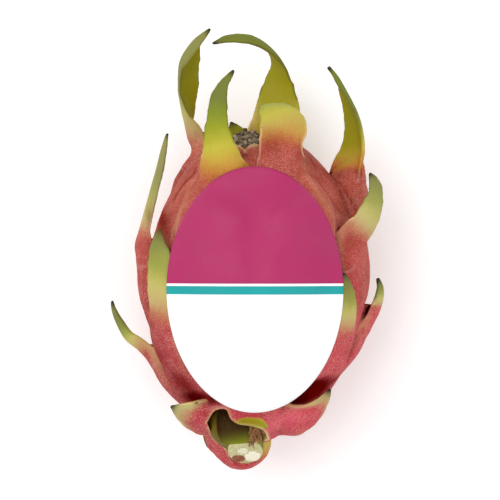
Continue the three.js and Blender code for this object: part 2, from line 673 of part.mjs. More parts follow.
function remnantSocket() {
  const mouth = remnantRadius * socketMouth + clearance;
  const foot = remnantRadius * socketFoot + clearance;
  const cutter = new THREE.CylinderGeometry(mouth, foot, socketHeight, remnantSpokes).rotateX(Math.PI / 2);
  return faced(cutter.translate(0, 0, socketHeight / 2 - remnantDepth - clearance));
}

// Turns a piece that was made facing +Z to face out of the flower end.
function faced(geometry) {
  return geometry.rotateX((remnantLean - 90) * degrees).translate(...remnantCentre);
}

// ---- the sticker ---------------------------------------------------------------------------------

// Height of the bare body's top above its axis.
function bareTop(x, y) {
  const w = halfWidth(y);
  return depthShare * w * Math.sqrt(Math.max(0, 1 - ((x + bendAt(y)) / w) ** 2));
}

// A thin sheet that rests on the highest places below it and bridges the hollows between them.
function labelGeometry(fruitMesh) {
  const caster = new THREE.Raycaster();
  const down = new THREE.Vector3(0, 0, -1);
  const relief = (x, y) => {
    caster.set(new THREE.Vector3(x, y, 2 * bodyHalfWidth), down);
    const [hit] = caster.intersectObject(fruitMesh, false);
    return hit ? hit.point.z - bareTop(x, y) : -Infinity;
  };
  const spots = labelSpots();
  const highest = spots.map(([x, y]) => {
    let most = relief(x, y);
    for (let turn = 0; turn < 360; turn += 45) {
      const [dx, dy] = [Math.cos(turn * degrees), Math.sin(turn * degrees)];
      most = Math.max(most, relief(x + dx * labelReach, y + dy * labelReach));
    }
    return most;
  });
  const eased = spots.map(([x, y], i) => {
    let total = 0;
    let weight = 0;
    spots.forEach(([a, b], j) => {
      const share = Math.exp(-((a - x) ** 2 + (b - y) ** 2) / labelEase);
      total += share * highest[j];
      weight += share;
    });
    return Math.max(total / weight, highest[i] - labelPress);
  });
  const bottom = spots.map(([x, y], i) => new THREE.Vector3(x, y, bareTop(x, y) + eased[i] + labelLift));
  const top = bottom.map((p) => p.clone().setZ(p.z + labelThickness));
  return sheet(top, bottom, labelRings, labelSpokes);
}

// The places of the sheet's points seen from above: the middle, then oval rings.
function labelSpots() {
  const spots = [labelCentre];
  for (let ring = 1; ring <= labelRings; ring++) {
    for (let i = 0; i < labelSpokes; i++) {
      const angle = (i / labelSpokes) * 2 * Math.PI;
      const share = ring / labelRings;
      spots.push([
        labelCentre[0] + share * labelHalfWidth * Math.cos(angle),
        labelCentre[1] + share * labelHalfLength * Math.sin(angle),
      ]);
    }
  }
  return spots;
}

// A closed sheet from two fans of rings.
function sheet(top, bottom, rings, spokes) {
  const points = [...top, ...bottom].flatMap((p) => p.toArray());
  const faces = [];
  const spot = (ring, i) => (ring === 0 ? 0 : 1 + (ring - 1) * spokes + (i % spokes));
  const under = top.length;
  for (let i = 0; i < spokes; i++) {
    faces.push(0, spot(1, i), spot(1, i + 1), under, under + spot(1, i + 1), under + spot(1, i));
    for (let ring = 1; ring < rings; ring++) {
      const [a, b, c, d] = [spot(ring, i), spot(ring, i + 1), spot(ring + 1, i + 1), spot(ring + 1, i)];
      faces.push(a, d, c, a, c, b);
      faces.push(under + a, under + c, under + d, under + a, under + b, under + c);
    }
    const [a, b] = [spot(rings, i), spot(rings, i + 1)];
    faces.push(a, under + a, under + b, a, under + b, b);
  }
  return new THREE.BufferGeometry()
    .setAttribute("position", new THREE.Float32BufferAttribute(points, 3))
    .setIndex(faces);
}

// ---- the assembly --------------------------------------------------------------------------------

const skin = new THREE.MeshStandardMaterial({ color: 0xc4485a, roughness: 0.5, metalness: 0 });
const cutStem = new THREE.MeshStandardMaterial({ color: 0x8a9a3a, roughness: 0.6, metalness: 0 });
const driedFlower = new THREE.MeshStandardMaterial({ color: 0x7a6a58, roughness: 0.9, metalness: 0 });
const film = new THREE.MeshStandardMaterial({ color: 0xbe4076, roughness: 0.45, metalness: 0 });

const fruit = new THREE.Group();
fruit.position.z = axisHeight;

function addPiece(name, geometry, material) {
  const mesh = new THREE.Mesh(geometry, material);
  mesh.name = name;
  fruit.add(mesh);
  return mesh;
}

const body = addPiece("fruit", geometryOf(fruitSolid()), skin);
addPiece("stem_stub", geometryOf(solidOf(stubGeometry(0))), cutStem);
addPiece("flower_remnant", geometryOf(solidOf(remnantGeometry())), driedFlower);
addPiece("label", geometryOf(solidOf(labelGeometry(body))), film);

const whole = new THREE.Group();
whole.add(fruit);
export default whole;
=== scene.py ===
import math

import bpy
import numpy as np
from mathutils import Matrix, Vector, noise
from mathutils.bvhtree import BVHTree
from mathutils.kdtree import KDTree


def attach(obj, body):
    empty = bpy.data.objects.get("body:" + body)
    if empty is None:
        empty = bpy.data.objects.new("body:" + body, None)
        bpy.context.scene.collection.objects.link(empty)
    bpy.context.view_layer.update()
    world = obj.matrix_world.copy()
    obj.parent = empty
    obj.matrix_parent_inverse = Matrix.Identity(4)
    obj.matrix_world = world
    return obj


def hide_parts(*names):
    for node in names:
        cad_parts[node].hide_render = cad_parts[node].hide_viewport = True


# A dragon fruit lying on its side. Lengths are in millimetres from the body's long axis, +Y towards the
# flower end; toFrame turns them into metres in the frame.

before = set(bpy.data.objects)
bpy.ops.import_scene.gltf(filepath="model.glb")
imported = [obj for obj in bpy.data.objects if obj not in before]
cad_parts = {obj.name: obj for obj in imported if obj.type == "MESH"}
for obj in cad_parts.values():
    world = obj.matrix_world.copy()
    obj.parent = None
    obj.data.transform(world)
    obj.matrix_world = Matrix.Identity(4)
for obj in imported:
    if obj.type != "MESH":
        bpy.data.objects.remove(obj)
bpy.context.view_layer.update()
print("frame loaded")

millimetre = 0.001
metre = 1000
tiny = 1e-9  # keeps divisions away from zero
sameSpot = 1e-4  # two points of a curve that are nearer than this are one


def unit(v):
    v = np.asarray(v, float)
    return v / np.maximum(np.linalg.norm(v, axis=-1, keepdims=True), tiny)


def smoothstep(low, high, x):
    t = np.clip((np.asarray(x, float) - low) / (high - low), 0, 1)
    return t * t * (3 - 2 * t)


def smoothCurve(points, steps):  # a centripetal Catmull-Rom curve through the points
    pts = np.asarray(points, float)
    pts = np.vstack([2 * pts[0] - pts[1], pts, 2 * pts[-1] - pts[-2]])
    t = np.linspace(0, 1, steps, endpoint=False)[:, None]
    out = []
    for p0, p1, p2, p3 in zip(pts, pts[1:], pts[2:], pts[3:]):
        d0, d1, d2 = (math.sqrt(np.linalg.norm(b - a)) for a, b in ((p0, p1), (p1, p2), (p2, p3)))
        d1 = d1 if d1 > sameSpot else 1
        d0, d2 = (d if d > sameSpot else d1 for d in (d0, d2))
        t1 = ((p1 - p0) / d0 - (p2 - p0) / (d0 + d1) + (p2 - p1) / d1) * d1
        t2 = ((p2 - p1) / d1 - (p3 - p1) / (d1 + d2) + (p3 - p2) / d2) * d1
        out.append(p1 + t1 * t + (3 * (p2 - p1) - 2 * t1 - t2) * t**2 + (2 * (p1 - p2) + t1 + t2) * t**3)
    return np.vstack(out + [pts[-2][None]])


def wander(points, size, octaves=2, offset=0.0):  # soft noise, about -1 to 1, with features of that size
    return np.array([noise.fractal(Vector(p) / size + Vector((offset, 0, 0)), 1, 2, octaves) for p in points])


def crumpled(points, size, amount):  # moved softly in all directions
    return points + np.stack([wander(points, size, 2, k * 9) for k in range(3)], 1) * amount


def anglesOf(count):
    return np.arange(count) / count * 2 * math.pi


def hoop(radius, height, angles):
    return np.stack([radius * np.cos(angles), radius * np.sin(angles), np.full(len(angles), height)], 1)


def trianglesOf(faces):
    return [t for f in faces for t in ((f[:3], (f[0], f[2], f[3])) if len(f) == 4 else (f,))]


def facingOut(points, faces):  # the same faces, wound so that the skin faces outwards
    corners = np.array(trianglesOf(faces))
    a, b, c = (points[corners[:, k]] - points.mean(axis=0) for k in range(3))
    return faces if np.sum(a * np.cross(b, c)) > 0 else [tuple(reversed(f)) for f in faces]


def closedTube(rings, first=None, last=None):  # points and faces of a closed skin through rings of points
    rings = np.asarray(rings, float)
    first = rings[0].mean(axis=0) if first is None else first
    last = rings[-1].mean(axis=0) if last is None else last
    count, around = rings.shape[:2]
    points = np.vstack([rings.reshape(-1, 3), [first], [last]])
    faces = []
    for ring in range(count - 1):
        for i in range(around):
            a, b = ring * around + i, ring * around + (i + 1) % around
            faces.append((a, b, b + around, a + around))
    top = (count - 1) * around
    for i in range(around):
        j = (i + 1) % around
        faces.append((count * around, j, i))
        faces.append((count * around + 1, top + i, top + j))
    return points, facingOut(points, faces)


def prism(outline, low, high):
    return closedTube([np.c_[outline, np.full(len(outline), z)] for z in (low, high)])


def joined(skins):  # one set of points, faces and named vertex numbers from several skins
    skins = [(*skin, {})[:3] for skin in skins]
    names = dict.fromkeys(name for skin in skins for name in skin[2])
    faces, start = [], 0
    for points, ownFaces, _ in skins:
        faces += [tuple(i + start for i in face) for face in ownFaces]
        start += len(points)
    values = {name: np.concatenate([given.get(name, np.zeros(len(points))) for points, _, given in skins])
              for name in names}
    return np.vstack([points for points, _, _ in skins]), faces, values


def toFrame(points):
    return (np.asarray(points, float) + (0, 0, axisHeight)) * millimetre


def fromFrame(points):
    return np.asarray(points, float) * metre - (0, 0, axisHeight)


def numbersOf(items, key, width, kind=np.float32):  # one row for each vertex, edge or face of a mesh
    numbers = np.empty(len(items) * width, kind)
    items.foreach_get(key, numbers)
    return numbers.reshape(-1, width)


def pointsOf(mesh):
    return fromFrame(numbersOf(mesh.vertices, "co", 3))


def normalsOf(mesh):
    return numbersOf(mesh.vertices, "normal", 3).astype(float)


def edgesOf(mesh):
    return numbersOf(mesh.edges, "vertices", 2, np.int32)


def facesOf(mesh):  # of a mesh of triangles
    return numbersOf(mesh.polygons, "vertices", 3, np.int32).tolist()


def movePoints(mesh, points):
    mesh.vertices.foreach_set("co", toFrame(points).astype(np.float32).ravel())
    mesh.update()


def storeValues(mesh, values):  # named numbers on the vertices
    for key, numbers in values.items():
        mesh.attributes.new(key, "FLOAT", "POINT").data.foreach_set("value", np.asarray(numbers, np.float32))


def makeObject(name, points, faces, values=None):
    mesh = bpy.data.meshes.new(name)
    mesh.from_pydata(toFrame(points).tolist(), [], faces)
    storeValues(mesh, values or {})
    mesh.shade_smooth()
    piece = bpy.data.objects.new(name, mesh)
    bpy.context.scene.collection.objects.link(piece)
    return piece


def applied(piece, kind, **settings):  # runs one modifier and keeps its result
    modifier = piece.modifiers.new(kind, kind)
    for key, value in settings.items():
        setattr(modifier, key, value)
    evaluated = piece.evaluated_get(bpy.context.evaluated_depsgraph_get())
    mesh = bpy.data.meshes.new_from_object(evaluated)
    piece.modifiers.clear()
    piece.data = mesh
    mesh.name = piece.name


def treeOf(points, faces):
    return BVHTree.FromPolygons([Vector(p) for p in points], faces)


# The body is a flattened solid of revolution, bent at the stem end, with a flat spot to lie on.
body = {
    "halfWidth": 41.3,
    "depthShare": 0.95,
    "flowerReach": 60,
    "stemReach": 61,
    "profilePower": 0.57,
    "flatDepth": 1.6,
    "stemBend": 4,
    "navel": (-2.6, 5),  # the hollow at the flower end: x and z
    "navelReach": 11,
    "navelDepth": 4.5,
    "rings": 110,
    "spokes": 160,
    "probe": 0.4,  # step for finding which way the skin faces
    "waviness": 0.35,  # height of its soft dents
    "waveSize": 26,
    "wavyAbove": (-36, -26),  # from where the dents fade in above the floor
}
axisHeight = body["halfWidth"] * body["depthShare"] - body["flatDepth"]


def halfWidth(y):
    share = np.asarray(y, float) / np.where(np.asarray(y) > 0, body["flowerReach"], body["stemReach"])
    return body["halfWidth"] * np.maximum(0, 1 - share**2) ** body["profilePower"]


def bendAt(y):
    return np.where(np.asarray(y) < 0, body["stemBend"] * (np.asarray(y, float) / body["stemReach"]) ** 2, 0)


def onBody(y, turn):  # turn in degrees round the axis, from +Z towards +X
    y, turn = np.broadcast_arrays(np.asarray(y, float), np.radians(np.asarray(turn, float)))
    w = halfWidth(y)
    return np.stack([w * np.sin(turn) - bendAt(y), y, body["depthShare"] * w * np.cos(turn)], axis=-1)


def bodyNormal(y, turn):
    step = body["probe"]
    along = onBody(y + step, turn) - onBody(y - step, turn)
    around = onBody(y, turn + step) - onBody(y, turn - step)
    return unit(np.cross(around, along))


def navelAt(x, z):  # how deep the hollow at the flower end is
    away = np.hypot(x - body["navel"][0], z - body["navel"][1]) / body["navelReach"]
    return body["navelDepth"] * np.exp(-away**2)


def bodySkin():
    climb = np.arange(1, body["rings"]) / body["rings"] * math.pi
    ys = -np.cos(climb) * np.where(climb > math.pi / 2, body["flowerReach"], body["stemReach"])
    rings = onBody(ys[:, None], np.arange(body["spokes"])[None, :] / body["spokes"] * 360)
    rings[..., 1] -= np.where(rings[..., 1] > 0, navelAt(rings[..., 0], rings[..., 2]), 0)
    top = body["flowerReach"] - navelAt(0, 0)
    points, faces = closedTube(rings, (-body["stemBend"], -body["stemReach"], 0), (0, top, 0))
    spun = wander(points, body["waveSize"], 2) * body["waviness"]
    spun = spun * smoothstep(*body["wavyAbove"], points[:, 2])
    points += unit(points * (1, 0.3, 1)) * spun[:, None]
    points, most = dented(points)
    # the hollows carry painted shade
    return points, faces, {"dark": most}


# `at` is where a scale leaves the body (y, turn) and `plate` how far its foot runs down from there. A row
# of `rows` is the middle of the blade, its half-width, the way its outer face looks, how far its margins
# sink and its thickness. `green` holds the shares of the blade where its colour starts to turn and has
# turned. `pale`, `seam`, `tip`, `rim`, `inside` and `wrinkled` say how much it has of a colour, and a
# scale can also carry painted shade all over.
scaleStyle = {
    "columns": 15,
    "steps": 10,  # faces along a scale between two rows
    "plateClimbs": (0, 0.35, 0.7, 1),  # rows of the foot, as shares of its length
    "plateEnd": 0.4,  # half-width of its lowest row, as a share of the base
    "plateDepth": 2,
    "plateGrip": 1.2,
    "rootSink": 0.7,
    "floorGap": 0.5,
    "tipThick": 0.9,
    "tipTaper": 1.8,  # length over which the tip narrows to half
    "tipReach": 3.4,  # length of the dry tip
    "marginThick": 0.85,
    "marginWave": 0.13,  # how uneven its margins are
    "waves": ((0.47, 1, 1), (1.1, 0.8, 1.7), (2.1, 0.4, 2.3)),  # rate, strength and phase of this
}
scales = [
    {"name": "backLeft", "at": (46, -118), "plate": 22, "base": 13, "thick": 3.4, "cup": 0.75,
     "green": (-0.2, 0.56), "pale": 0.62, "seam": 0, "rows": [
         ((-26, 56, -8), 5.2, (-0.8, 0, 0.45)),
         ((-28.4, 66, -5), 4.9, (-0.97, 0, -0.22)),
         ((-29, 77, -1), 5.5, (-0.76, 0, -0.65)),
         ((-28.2, 86, 4), 5.6, (-0.82, 0.1, -0.5)),
         ((-24, 92.4, 8), 3.8, (-0.72, 0.55, 0.1)),
         ((-17.6, 97.2, 9), 0.5, (-0.5, 0.7, 0.5))]},
    {"name": "frontLeft", "at": (27, -28), "plate": 32, "base": 16, "thick": 3.4, "cup": 0.2,
     "green": (-0.1, 0.75), "seam": 0.5, "rows": [
         ((-13.8, 37.5, 28), 11.8, (-0.35, 0.2, 1), 6),
         ((-13.8, 46, 29.8), 7.9, (-0.25, 0.1, 1), 2.6),
         ((-14.5, 54, 31.4), 5.3, (-0.2, 0.1, 1), 0.6),
         ((-14.7, 61.4, 32.4), 3.9, (-0.2, 0.1, 1)),
         ((-14.1, 69, 33), 3.1, (-0.2, 0.2, 1)),
         ((-12.1, 75, 33), 1.8, (-0.3, 0.3, 1)),
         ((-8.4, 80, 32.4), 0.5, (-0.3, 0.4, 1))]},
    {"name": "backTop", "at": (53, 160), "plate": 18, "base": 9.6, "thick": 3.6, "cup": 0.32,
     "green": (-0.3, 0.45), "rows": [
         ((8, 62, -16), 8.8, (0.1, -0.1, -1)),
         ((9, 71, -18), 7.4, (0.15, 0, -1)),
         ((10, 78.5, -17), 5.6, (0.4, 0.1, -0.9)),
         ((10, 84.8, -14), 4, (0.75, 0.4, -0.5)),
         ((5.8, 91, -10), 3.2, (0.5, 0.8, 0.2)),
         ((-1.5, 94.6, -7), 2.8, (0.2, 0.75, 0.6)),
         ((-9.6, 94.8, -5), 2.1, (0, 0.7, 0.7)),
         ((-16.8, 92.4, -4), 0.5, (0, 0.7, 0.7))]},
    {"name": "curled", "at": (29, 29), "plate": 30, "base": 15, "thick": 3.6, "cup": 0.16,
     "green": (0.22, 0.9), "pale": 0.25, "wrinkled": 1, "seam": 0.5, "rows": [
         ((11.8, 38.5, 27.6), 12, (0.35, 0.2, 1), 5),
         ((9.9, 46.6, 28.4), 8.8, (0.2, 0.1, 1), 2),
         ((9.5, 53, 28.2), 7.8, (0.12, 0.12, 1), 0.6),
         ((10.4, 60, 27.4), 8.4, (0.1, 0.4, 0.9), 0.8),
         ((8.7, 66, 23), 7.6, (0, 0.9, 0.5), 0.6),
         ((7.4, 68.4, 16.4), 6, (0, 1, -0.1), 0.4),
         ((9.4, 66.6, 9.4), 3, (0.1, 1, -0.3)),
         ((11.6, 64, 5), 0.7, (0.1, 1, -0.3))]},
    {"name": "rightUpper", "at": (31, 98), "plate": 26, "base": 11, "thick": 5, "cup": 0.62,
     "green": (-0.04, 0.56), "seam": 0, "rows": [
         ((38.1, 42, -3), 7.6, (0.72, 0, -0.68), 0.8, 3.4),
         ((40.3, 51.5, -4), 6.8, (0.82, 0, -0.57), 0, 2.7),
         ((40, 59.5, -4.6), 5.6, (0.86, 0.05, -0.48), 0, 2.4),
         ((38, 67, -5), 4.4, (0.88, 0.15, -0.35), 0, 2.1),
         ((35, 73.4, -5), 3.4, (0.85, 0.3, -0.15), 0, 1.8),
         ((31.9, 79, -5), 2.2, (0.8, 0.45, 0.15), 0, 1.5),
         ((28.1, 83.8, -5), 0.5, (0.75, 0.5, 0.2))]},
    {"name": "rightWeb", "at": (22, 76), "plate": 20, "base": 8, "thick": 3.4, "cup": 0.12, "fused": 1,
     "green": (0.6, 1.8), "tip": 0, "rim": 0, "seam": 0, "inside": 1, "rows": [
         ((37, 28, 10.2), 4.6, (0.1, 0, 1), 0.8, 7),
         ((35.7, 33, 9.2), 5.6, (-0.05, 0.1, 1), 0.3, 7),
         ((34, 38, 7.2), 6.9, (-0.14, 0.25, 0.96), 0.1, 6),
         ((33.5, 42, 4.2), 7.3, (-0.36, 0.5, 0.8), 0, 4),
         ((34.5, 45.4, 0.4), 6.6, (-0.55, 0.5, 0.66), 0, 2.6),
         ((36, 48.6, -2.6), 5.4, (-0.66, 0.3, 0.7), 0, 1.4)]},
    {"name": "right", "at": (8, 64), "plate": 32, "base": 14, "thick": 3.4, "cup": 0.2,
     "green": (-0.05, 0.82), "pale": 0.62, "rows": [
         ((37.6, 16, 21.4), 7.8, (0.62, -0.15, 0.78), 1.8),
         ((41.8, 24, 21.2), 5.2, (0.52, -0.2, 0.85)),
         ((44.3, 30.5, 19.4), 4, (0.4, -0.1, 0.9)),
         ((45.2, 35.6, 18.4), 2.8, (0.4, 0.1, 0.9)),
         ((44.5, 39.4, 17), 2, (0.4, 0.3, 0.9)),
         ((42.7, 42.5, 16), 0.6, (0.4, 0.3, 0.9))]},
    {"name": "rightLow", "at": (-17, 96), "plate": 24, "base": 12, "thick": 3.8, "cup": 0.6,
     "green": (0.02, 0.8), "pale": 0.6, "rows": [
         ((46.7, -11, -1), 5.6, (1, -0.1, 0.1)),
         ((48.4, -5.6, 0), 4.6, (1, 0, 0.1)),
         ((48.5, -1, 0.6), 3.2, (1, 0.2, 0.15)),
         ((46.8, 3, 1), 1, (0.9, 0.4, 0.15))]},
    {"name": "lowWeb", "at": (-20, 86), "plate": 14, "base": 5, "thick": 2.6, "cup": 0.2,
     "green": (2, 3), "tip": 0, "rim": 0, "rows": [
         ((42.6, -15, 3), 3.6, (0.8, -0.1, 0.6), 0.4, 4),
         ((42.6, -11, 0.4), 3, (0.5, -0.5, 0.7), 0, 4),
         ((42.4, -9.4, -4), 2, (0.2, -0.9, 0.3), 0, 2)]},
    {"name": "rightFront", "at": (-24, 52), "plate": 26, "base": 11, "thick": 2.8, "cup": 0.2,
     "green": (-0.45, 0.84), "pale": 0.55, "rows": [
         ((33, -14, 28.2), 7, (0.6, 0, 0.8), 1),
         ((33.4, -6.5, 29.2), 5.8, (0.6, 0, 0.8)),
         ((33.3, 0, 29.2), 3.8, (0.6, 0.1, 0.8)),
         ((32.9, 5, 28.8), 0.6, (0.6, 0.1, 0.8))]},
    {"name": "left", "at": (7, -98), "plate": 34, "base": 15, "thick": 4.4, "cup": 0.7,
     "green": (0.02, 0.62), "pale": 0.75, "seam": 0, "wave": 0.3, "rows": [
         ((-46.3, 14.5, -5), 8, (-1, -0.15, 0), 1),
         ((-44.5, 22, -5.6), 4.6, (-1, -0.1, 0.15), 0, 2.2),
         ((-42.6, 28.5, -6), 3.3, (-0.9, 0, 0.32), 0, 1.7),
         ((-40.5, 36, -6), 2.8, (-0.9, 0, 0.36), 0, 1.5),
         ((-38.2, 44, -5), 2.5, (-0.9, 0, 0.38), 0, 1.4),
         ((-36.3, 51.6, -4), 1.9, (-0.9, 0, 0.4), 0, 1.3),
         ((-34.4, 58.2, -4), 0.5, (-0.9, 0, 0.4))]},
    {"name": "leftFront", "at": (-18, -60), "plate": 26, "base": 11, "thick": 2.8, "cup": 0.2,
     "green": (-0.32, 0.86), "pale": 0.52, "tip": 0.6, "rows": [
         ((-36, -8, 24.6), 7, (-0.6, 0, 0.8), 1),
         ((-36, 1, 26), 6.4, (-0.55, 0, 0.85)),
         ((-36.4, 9, 26.5), 5.2, (-0.55, 0.1, 0.85)),
         ((-36.9, 15.6, 25.6), 3.3, (-0.5, 0.2, 0.85)),
         ((-36, 21.5, 24.5), 0.5, (-0.5, 0.2, 0.85))]},
    {"name": "leftLow", "at": (-30, -98), "plate": 24, "base": 12, "thick": 3.8, "cup": 0.55,
     "green": (-0.2, 0.62), "pale": 0.5, "rows": [
         ((-44.6, -25.4, -4.5), 6, (-0.7, -0.7, 0.1)),
         ((-50, -20.8, -5), 4.4, (-0.75, -0.65, 0.2)),
         ((-53.3, -14.9, -4.6), 3.4, (-0.9, -0.45, 0.2)),
         ((-55.1, -9.6, -4), 1.8, (-1, -0.25, 0.2)),
         ((-55.5, -6.1, -3.4), 0.5, (-1, -0.2, 0.2))]},
    {"name": "stemLeft", "thick": 4, "cup": 0.28, "base": 9,
     "green": (0.42, 1.6), "pale": 1, "rows": [
         ((-11.5, -51.6, 11), 9, (-0.2, -0.55, 0.85)),
         ((-17.5, -51.8, 14), 10, (-0.3, -0.6, 0.8)),
         ((-23.6, -50.4, 15.4), 8.2, (-0.4, -0.6, 0.75)),
         ((-28.6, -48.2, 16), 4.8, (-0.45, -0.6, 0.75)),
         ((-32.4, -45.6, 15.6), 0.6, (-0.45, -0.6, 0.75))]},
    {"name": "stemRight", "thick": 4.4, "cup": 0.25, "base": 9,
     "green": (0.55, 1.6), "pale": 1, "rows": [
         ((3.4, -53.6, 9), 7.6, (0.2, -0.6, 0.8)),
         ((10.4, -52.7, 13.2), 9.3, (0.3, -0.6, 0.8)),
         ((17.1, -51.3, 15.4), 7.3, (0.4, -0.6, 0.8)),
         ((22.4, -48, 16.4), 4.8, (0.45, -0.6, 0.75)),
         ((26, -43.5, 17.1), 2.6, (0.5, -0.55, 0.75)),
         ((28.2, -39, 17), 0.6, (0.5, -0.55, 0.75))]},
    # the lip carries some painted shade all over
    {"name": "socketLip", "thick": 3, "cup": 0.2, "base": 8, "tip": 0, "rim": 0, "inside": 1, "dark": 0.4,
     "green": (0, 1.3), "pale": 0.2, "rows": [
         ((-1, -39.5, 23.8), 6.6, (0, -0.3, 1), 2),
         ((-1.8, -45, 22.9), 7.2, (0, -0.4, 1), 0.8),
         ((-2.6, -50.4, 20.8), 6.9, (0, -0.6, 0.9), 0.5),
         ((-2.7, -54.6, 17.6), 6.4, (0, -0.8, 0.7), 0.3)]},
    {"name": "rimWall", "thick": 5, "cup": 0.12, "base": 3, "tip": 0,
     "green": (0.7, 1.3), "pale": 0.3, "rows": [
         ((-18.8, -50.5, 0.6), 4.6, (-0.9, -0.15, 0.4)),
         ((-18.6, -55, 2.6), 5.2, (-0.85, -0.25, 0.5)),
         ((-16.8, -58.8, 4.2), 6, (-0.7, -0.45, 0.62)),
         ((-13, -63, 4.2), 6, (-0.52, -0.6, 0.64)),
         ((-8.9, -67.4, 2.6), 4.8, (-0.28, -0.78, 0.6)),
         ((-4.8, -69.4, 1.4), 3.6, (0.05, -0.92, 0.4)),
         ((0, -68, 1.2), 3.4, (0.46, -0.82, 0.34)),
         ((2.9, -64.6, 1.8), 4.2, (0.8, -0.4, 0.44)),
         ((3.9, -60, 2.4), 4.8, (0.86, -0.1, 0.5)),
         ((4.2, -56, 2.4), 4, (0.9, 0, 0.4))]},
    {"name": "collar", "at": (-46, 188), "plate": -10, "base": 14, "thick": 3, "cup": 0.55,
     "green": (2, 3), "tip": 0, "rim": 0, "rows": [
         ((-9.6, -56, -15.4), 12.4, (-0.1, -0.3, -0.95), 3),
         ((-9.2, -62.4, -12), 11, (-0.1, -0.5, -0.85), 4.4),
         ((-8.2, -67, -8.2), 9.6, (-0.1, -0.7, -0.7), 3.4),
         ((-6.9, -69.4, -4.6), 7.4, (-0.1, -0.85, -0.5), 2),
         ((-5.8, -70.2, -2), 5, (-0.1, -1, -0.1))]},
    {"name": "stemBack", "thick": 2.8, "cup": 0.2, "base": 6,
     "green": (0.2, 0.8), "pale": 0.4, "rows": [
         ((-16, -48, -9), 5, (-0.6, -0.5, -0.6)),
         ((-19.4, -55.5, -8.2), 3, (-0.7, -0.4, -0.5)),
         ((-18.7, -62.4, -7), 0.7, (-0.7, -0.3, -0.5))]},
    {"name": "apexLeft", "thick": 3, "cup": 0.25, "base": 4, "tipReach": 1.6, "rim": 1.12,
     "green": (2, 3), "pale": 1, "rows": [
         ((-10, 42, 26), 4.2, (-0.1, 0.5, 0.9), 2),
         ((-8.9, 48.6, 22), 4, (-0.05, 0.6, 0.8), 1),
         ((-7.2, 52.9, 18), 3.6, (0, 0.7, 0.7))]},
    {"name": "apexRight", "thick": 3, "cup": 0.25, "base": 4, "tipReach": 1.6, "rim": 1.12,
     "green": (2, 3), "pale": 1, "rows": [
         ((2, 42, 26.8), 4.6, (0.1, 0.5, 0.9), 2),
         ((0.7, 48.6, 22.2), 4.3, (0.05, 0.6, 0.8), 1),
         ((-1, 53.2, 18), 3.8, (0, 0.7, 0.7))]},
    {"name": "apexBack", "thick": 2.4, "cup": 0.25, "base": 5,
     "green": (-0.2, 0.6), "pale": 0.1, "rows": [
         ((-6.4, 52, 0), 5, (-0.4, 0.5, -0.7)),
         ((-8, 57.6, 0.6), 3.4, (-0.4, 0.5, -0.7)),
         ((-9.8, 62, 2), 0.6, (-0.4, 0.5, -0.7))]},
]
hiddenScales = [  # at, plate, base, blade length, how far it opens, how far it leans
    ("underTop", (32, 152), 20, 12, 24, 14, 4),
    ("underTopLeft", (24, -150), 22, 13, 26, 12, -5),
    ("underRight", (6, 130), 24, 14, 25, 22, 5),
    ("underLeft", (-8, -134), 24, 14, 23, 20, -4),
    ("underLow", (-24, 148), 20, 13, 18, 12, 4),
    ("underLowLeft", (-40, -146), 14, 10, 15, 20, -3),
    ("underStem", (-46, 124), 10, 10, 12, 14, 2),
]
pressedScales = [  # at, plate, base, blade length; these lie flat under the sticker
    ("pressedLeft", (4, -20), 26, 14, 22),
    ("pressedRight", (0, 18), 24, 14, 20),
    ("pressedLowLeft", (-30, -16), 16, 13, 20),
    ("pressedLowRight", (-32, 22), 14, 12, 18),
]

guessed = {  # what the hidden and the pressed scales share
    "colour": {"green": (0.1, 0.8), "pale": 0.2},
    "leastHalf": 0.6,
    "hiddenRows": (0.3, 0.62, 0.88, 1),
    "hiddenLift": 2.6,
    "pressedRows": (0.4, 0.75, 1),
    "pressedLift": (1.6, 0.8),  # at its foot, and how much of it is gone at its tip
}


def guessedScale(name, at, plate, base, thick, cup, rows):
    rows = [(p, max(guessed["leastHalf"], base * 0.9 * (1 - share) ** 0.8), out) for share, p, out in rows]
    return {"name": name, "at": at, "plate": plate, "base": base, "thick": thick, "cup": cup, "rows": rows,
            **guessed["colour"]}


def grownScale(name, at, plate, base, grow, spread, lean):
    out, start = bodyNormal(*at), onBody(*at)
    up = unit(onBody(at[0] + 1, at[1]) - start)
    side = np.cross(up, out)
    opened, lift = math.radians(spread), guessed["hiddenLift"]
    rows = []
    for share in guessed["hiddenRows"]:
        p = start + up * math.cos(opened) * grow * share + out * (lift + math.sin(opened) * grow * share)
        rows.append((share, p + side * lean * share**2, out))
    return guessedScale(name, at, plate, base, 3, 0.25, rows)


def pressedScale(name, at, plate, base, grow):
    lift, gone = guessed["pressedLift"]
    rows = []
    for share in guessed["pressedRows"]:
        place = (at[0] + grow * share, at[1])
        out = bodyNormal(*place)
        rows.append((share, onBody(*place) + out * (lift - gone * share), out))
    return guessedScale(name, at, plate, base, 1.8, 0.12, rows)


def plateRows(scale):  # middle, outward way, half-width, sag, sink and thickness of each row of the foot
    y, turn = scale["at"]
    sunk, end = scaleStyle["rootSink"], scaleStyle["plateEnd"]
    rows = []
    for climb in scaleStyle["plateClimbs"]:
        down = y - scale["plate"] * (1 - climb)
        half = scale["base"] * (end + (1 - end) * math.sin(climb * math.pi / 2))
        lift = (scale["thick"] + sunk) * climb**2 * (3 - 2 * climb) - sunk
        out = bodyNormal(down, turn)
        radius = max(float(halfWidth(down)), half * 1.1)
        thick = lift + sunk + scaleStyle["plateDepth"]
        if climb == 1:
            thick = scale["thick"] + scaleStyle["plateGrip"]
        middle = onBody(down, turn) + out * lift
        rows.append((*middle, *out, half, half**2 / (2 * radius), max(0, lift) + sunk, thick))
    return rows


def scaleRows(scale):
    rows = plateRows(scale) if "at" in scale else []
    for middle, half, out, *more in scale["rows"]:
        usual = max(scaleStyle["tipThick"], scale["thick"] * min(1, 0.3 + half / scale["base"]))
        sink, thick = more + [0, usual][len(more):]
        rows.append((*middle, *unit(out), half, scale["cup"] * half, sink, thick))
    return np.array(rows)


